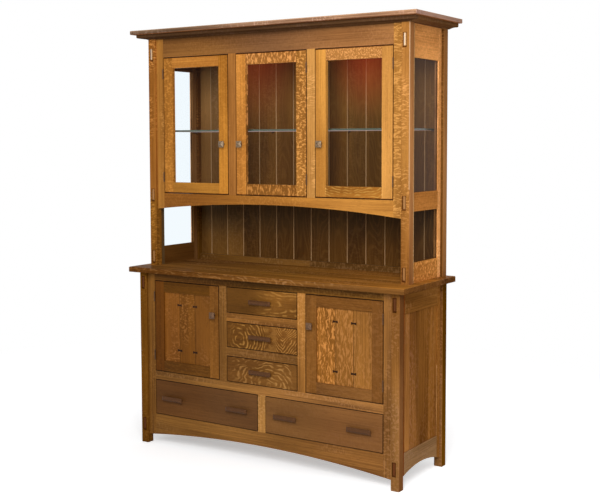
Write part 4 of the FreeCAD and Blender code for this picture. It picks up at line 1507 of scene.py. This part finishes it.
# %% The other woods
BOXES = [name for name in nodes if name.endswith("drawer_box")]
clad(
    BOXES + ["drawer_runners"],
    "maple", one_way("x", "z", [0.0]), colour(224, 196, 150), colour(196, 160, 112), fleck=0.0,
)
clad(
    ["base_back_panel"],
    "back_ply", one_way("z", "x", [0.0]), colour(156, 108, 62), colour(104, 68, 38), fleck=0.0,
)
clad(
    ["left_cupboard_door_keys", "right_cupboard_door_keys"],
    "walnut", one_way("x", "x", [0.0]), colour(58, 34, 20), colour(28, 16, 10), fleck=0.0,
)
print("nodes of maple", len(BOXES) + 1)

# %% [markdown]
# ## Glass
# The panes are thin and flat, so light goes straight through them and only a little is mirrored.
# What they mirror is a plain room, so the reflection is a painted reflection: one plain colour that
# the glass gives off. A Mix Shader says just that: a clear shader and that colour, mixed by how
# glancing the view is. The shelf is the same glass, but its long edges are seen through the width
# of the sheet, and there it is a grey green.

# %% Panes and shelf
CLEAR = (0.992, 0.998, 1.0, 1.0)
BLUISH = (0.945, 0.978, 0.996, 1.0)
ROOM = (1.0, 0.79, 0.80, 1.0)
HEAD_ON_MIRROR, GLANCING_MIRROR = 0.0022, 0.25
EDGE_DEPTH = 0.0006


def glass(name, mirror_from=0.0, left=CLEAR, edges=None):
    """Flat glass, clear on the right of the hutch and with the tint left on its left. It has a
    painted reflection of a warm room, a colour that it gives off, where the view is glancing, from
    the height mirror_from up. edges is a shelf's front edge in Y and its end in X, which are green."""
    finish = Finish(name)
    x, y, z = finish.axes(finish.place)
    on_right, on_left = (
        finish.node("ShaderNodeBsdfTransparent", None, {0: hue}) for hue in (CLEAR, left)
    )
    clear = finish.node("ShaderNodeMixShader", None, {0: x < 0.0, 1: on_right, 2: on_left})
    mirror = finish.node("ShaderNodeEmission", None, {0: ROOM, 1: 1.0})
    facing = finish.node("ShaderNodeLayerWeight", None, {"Blend": 0.5}, out="Facing")
    glance = finish.sum("POWER", facing, 5.0) * (z > mirror_from)
    mirrored = glance * GLANCING_MIRROR + HEAD_ON_MIRROR
    sheet = finish.node("ShaderNodeMixShader", None, {0: mirrored, 1: clear, 2: mirror})
    if edges is None:
        return finish.surface(sheet)
    green = {"Base Color": colour(58, 68, 52), "Roughness": 0.2}
    rim = finish.node("ShaderNodeBsdfPrincipled", None, green)
    front, end = edges
    at_end = finish.sum("ABSOLUTE", x) > end - EDGE_DEPTH
    edge = finish.sum("MAXIMUM", y < front + EDGE_DEPTH, at_end)
    return finish.surface(finish.node("ShaderNodeMixShader", None, {0: edge, 1: sheet, 2: rim}))


PANES = [name for name in nodes if name.endswith("_pane")]
wear(PANES, glass("clear_glass"))
wear(["upper_side_panes"], glass("side_glass", mirror_from=1.29, left=BLUISH))
SHELF_LOW, SHELF_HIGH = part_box("glass_shelf")
wear(["glass_shelf"], glass("shelf_glass", edges=(SHELF_LOW.y, SHELF_HIGH.x)))
print("nodes of glass", len(PANES) + 2)

# %% [markdown]
# ## Dark bronze
# Knobs, pulls, hinges, pins and catches are hammered metal with a dark bronze skin. The knobs and
# pulls are rubbed a little brighter than the rest, and the knob heads of the upper doors are paler
# still: painted light, a lit copy of the bronze, as the upper case takes more light.

# %% Hammered bronze


def bronze(name, low, high, metal=0.8, gloss=0.5):
    """Dark bronze with hammer marks, between a low and a high colour."""
    finish = Finish(name)
    marks = finish.node(
        "ShaderNodeTexVoronoi", {"feature": "SMOOTH_F1"}, {0: finish.place, "Scale": 260.0}
    )
    grime = finish.noise(finish.place, 90.0, 3.0)
    skin = finish.mix_colour(grime, low, high)
    bump = finish.node(
        "ShaderNodeBump", None, {"Strength": 0.5, "Distance": 0.0005, "Height": marks}
    )
    shader = finish.node(
        "ShaderNodeBsdfPrincipled",
        None,
        {
            "Base Color": skin,
            "Metallic": metal,
            "Roughness": grime * 0.2 + 0.34,
            "Specular IOR Level": gloss,
            "Normal": bump,
        },
    )
    return finish.surface(shader)


METAL = [name for name in nodes if name.endswith("_hardware")] + [
    "shelf_pins",
    "hinge_frame_leaves",
    "door_catches",
]
wear(METAL, bronze("dark_bronze", colour(66, 44, 28), colour(100, 72, 50)))
wear(["puck_lights"], bronze("lamp_nickel", colour(190, 180, 168), colour(220, 212, 200)))
print("metal pieces", len(METAL))

# %% [markdown]
# ## Hammered pulls and knob heads
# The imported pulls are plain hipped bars. Here they are made again with hammer marks in
# the metal itself. A pull's front is a height over a flat rectangle: it rises from the
# rim as a slope and ends in a flat ridge, so the height at a point is the smaller of two
# slopes, one from the ends and one from the long sides, cut off at the ridge. The hammer
# marks are shallow round dents at random places, taken off that height. The same
# function makes the square posts behind the bar and, with four equal slopes, the heads
# of the knobs.

# %% Surface functions
DENT_DEPTH = 0.0005
CELL = 0.0016
dice = np.random.default_rng(7)


def slab(width, height, band, hips, rise, dents_per_cm2):
    """A slab that lies across X and Z with its back at Y = 0 and its front towards -Y.
    The front stands band off the back at the rim and rises by rise over the slopes,
    which are hips = (from the ends, from the long sides) wide. Dents are taken off it.
    Returns points and faces."""
    columns = max(3, round(width / CELL) + 1)
    rows = max(3, round(height / CELL) + 1)
    x, z = np.meshgrid(
        np.linspace(-width / 2, width / 2, columns), np.linspace(-height / 2, height / 2, rows)
    )
    slope = np.minimum((width / 2 - abs(x)) / hips[0], (height / 2 - abs(z)) / hips[1])
    front = band + rise * np.clip(slope, 0, 1)
    for _ in range(round(width * height * 1e4 * dents_per_cm2)):
        across, up = dice.uniform(-width / 2, width / 2), dice.uniform(-height / 2, height / 2)
        radius = dice.uniform(0.0016, 0.0034)
        away = ((x - across) ** 2 + (z - up) ** 2) / radius**2
        front -= DENT_DEPTH * np.clip(1 - away, 0, 1)
    front_points = np.stack([x, -front, z], -1).reshape(-1, 3)
    back_points = np.stack([x, 0 * x, z], -1).reshape(-1, 3)
    count = rows * columns
    index = np.arange(count).reshape(rows, columns)
    quads = np.stack(
        [index[:-1, :-1], index[:-1, 1:], index[1:, 1:], index[1:, :-1]], -1
    ).reshape(-1, 4)
    rim = np.concatenate([index[0], index[1:, -1], index[-1, -2::-1], index[-2:0:-1, 0]])
    ahead = np.roll(rim, -1)
    sides = np.stack([rim, rim + count, ahead + count, ahead], -1)
    faces = np.concatenate([quads, quads[:, ::-1] + count, sides])
    return np.concatenate([front_points, back_points]), faces


def joined(parts):
    """Several (points, faces, shift) as one piece's points and faces."""
    points, faces, start = [], [], 0
    for part_points, part_faces, shift in parts:
        points.append(part_points + np.array(shift))
        faces.append(part_faces + start)
        start += len(part_points)
    return np.concatenate(points), np.concatenate(faces)


def piece(name, points, faces, material, body, material_slot):
    """A mesh from points and faces, which rides on a body of the model."""
    mesh = bpy.data.meshes.new(name)
    mesh.from_pydata([tuple(point) for point in points], [], [tuple(face) for face in faces])
    mesh.materials.append(material)
    made = bpy.data.objects.new(name, mesh)
    bpy.context.scene.collection.objects.link(made)
    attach(made, body)
    return made


PULL_SIZE = (0.128, 0.022)
PULL_BAND, PULL_RISE = 0.003, 0.006
PULL_HIPS = (0.012, 0.007)
PULL_POST = (0.010, 0.015)
PULL_POST_SPACING = 0.088


def pull_parts(centre, face):
    """The bar and the two posts of a pull centred at (x, z) on a front whose face is at
    Y = face."""
    x, z = centre
    bar = slab(*PULL_SIZE, PULL_BAND, PULL_HIPS, PULL_RISE, 6)
    parts = [(*bar, (x, face - PULL_POST[1], z))]
    for side in (-1, 1):
        post = slab(PULL_POST[0], PULL_POST[0], PULL_POST[1], (0.01, 0.01), 0.0, 0)
        parts.append((*post, (x + side * PULL_POST_SPACING / 2, face, z)))
    return parts


pull_bronze = bronze("rubbed_bronze", colour(66, 40, 20), colour(94, 58, 28), 0.2, 0.15)
PULLS = [name for name in nodes if name.endswith(("_pull", "_pulls"))]
for name in PULLS:
    low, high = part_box(name)
    height = (low.z + high.z) / 2
    ends = [low.x + PULL_SIZE[0] / 2, high.x - PULL_SIZE[0] / 2]
    parts = []
    for x in ends if name.endswith("s") else ends[:1]:
        parts += pull_parts((x, height), high.y)
    body = name.rsplit("_", 1)[0]
    made = piece("hammered_" + name, *joined(parts), pull_bronze, body, "dark_hardware")
    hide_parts(name)
print("pulls", len(PULLS))

# %% [markdown]
# A knob's head is the same kind of slab with four equal slopes. It sits over the plain packed head,
# half a millimetre larger, at the place where the imported hardware of its door reaches furthest
# forward. The heads of the upper doors are painted paler: a lit copy of the bronze, as the upper
# case takes more light.

# %% Knob heads
HEAD_WIDTH = 0.0312
HEAD_BAND, HEAD_RISE, HEAD_HIP = 0.0040, 0.0070, 0.0108
HEAD_DEPTH = 0.0105
# A lit copy: the upper knob heads are painted paler, as the upper case takes more light.
upper_bronze = bronze("worn_bronze", colour(88, 70, 46), colour(150, 126, 98), 0.3, 0.4)
cupboard_bronze = bronze("door_bronze", colour(72, 48, 32), colour(122, 90, 62), 0.3, 0.3)
KNOBBED = [name for name in nodes if name.endswith("door_hardware")]
for name in KNOBBED:
    here = foremost(name, 0.0002)
    tip = sum(here, Vector()) / len(here)
    head = slab(HEAD_WIDTH, HEAD_WIDTH, HEAD_BAND, (HEAD_HIP, HEAD_HIP), HEAD_RISE, 8)
    points, faces = joined([(*head, (tip.x, tip.y + HEAD_DEPTH, tip.z))])
    door = name.replace("_hardware", "")
    material = upper_bronze if "glass" in name else cupboard_bronze
    piece(door + "_knob_head", points, faces, material, door, "dark_hardware")
print("knob heads", len(KNOBBED))

# %% [markdown]
# ## Lamp lenses
# Each small lamp in the top has a glass lens, a shallow dome that hangs down a little.
# Its height falls with the square of the distance from its middle, so it is a paraboloid:
# rings of points round a middle one.

# %% Lenses
LENS_RADIUS, LENS_SAG = 0.0255, 0.003
LENS_RINGS, LENS_SPOKES = 8, 48
lens_finish = Finish("warm_lens")
lens_glass = lens_finish.surface(
    lens_finish.node(
        "ShaderNodeBsdfPrincipled",
        None,
        {
            "Base Color": colour(250, 236, 214),
            "Roughness": 0.25,
            "Emission Color": colour(255, 214, 170),
            "Emission Strength": 1.2,
        },
    )
)


def lens():
    """A dome of rings and spokes that hangs down, closed by a flat back."""
    turn = np.linspace(0, 2 * math.pi, LENS_SPOKES, endpoint=False)
    points = [(0.0, 0.0, -LENS_SAG)]
    for share in np.linspace(0, 1, LENS_RINGS + 1)[1:]:
        radius, drop = LENS_RADIUS * share, -LENS_SAG * (1 - share**2)
        points += [(radius * math.cos(a), radius * math.sin(a), drop) for a in turn]

    def at(ring, spoke):
        return 1 + ring * LENS_SPOKES + spoke % LENS_SPOKES

    faces = [(0, at(0, spoke + 1), at(0, spoke)) for spoke in range(LENS_SPOKES)]
    for ring in range(LENS_RINGS - 1):
        for spoke in range(LENS_SPOKES):
            faces.append(
                (at(ring, spoke), at(ring, spoke + 1), at(ring + 1, spoke + 1), at(ring + 1, spoke))
            )
    faces.append(tuple(at(LENS_RINGS - 1, spoke) for spoke in range(LENS_SPOKES)))
    return points, faces


LAMP_LOW, LAMP_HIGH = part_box("puck_lights")
LAMP_RADIUS = (LAMP_HIGH.y - LAMP_LOW.y) / 2
for side, x in (("left", LAMP_LOW.x + LAMP_RADIUS), ("right", LAMP_HIGH.x - LAMP_RADIUS)):
    points, faces = lens()
    shift = np.array([x, (LAMP_LOW.y + LAMP_HIGH.y) / 2, LAMP_LOW.z + 0.0035])
    piece(side + "_lamp_lens", np.array(points) + shift, faces, lens_glass, "case", "clear_glass")
print("lenses at z", round(LAMP_LOW.z, 4))

bare = [name for name, node in nodes.items() if node.data.materials[0].name.startswith("mat")]
print("not yet finished", bare)

low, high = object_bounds()
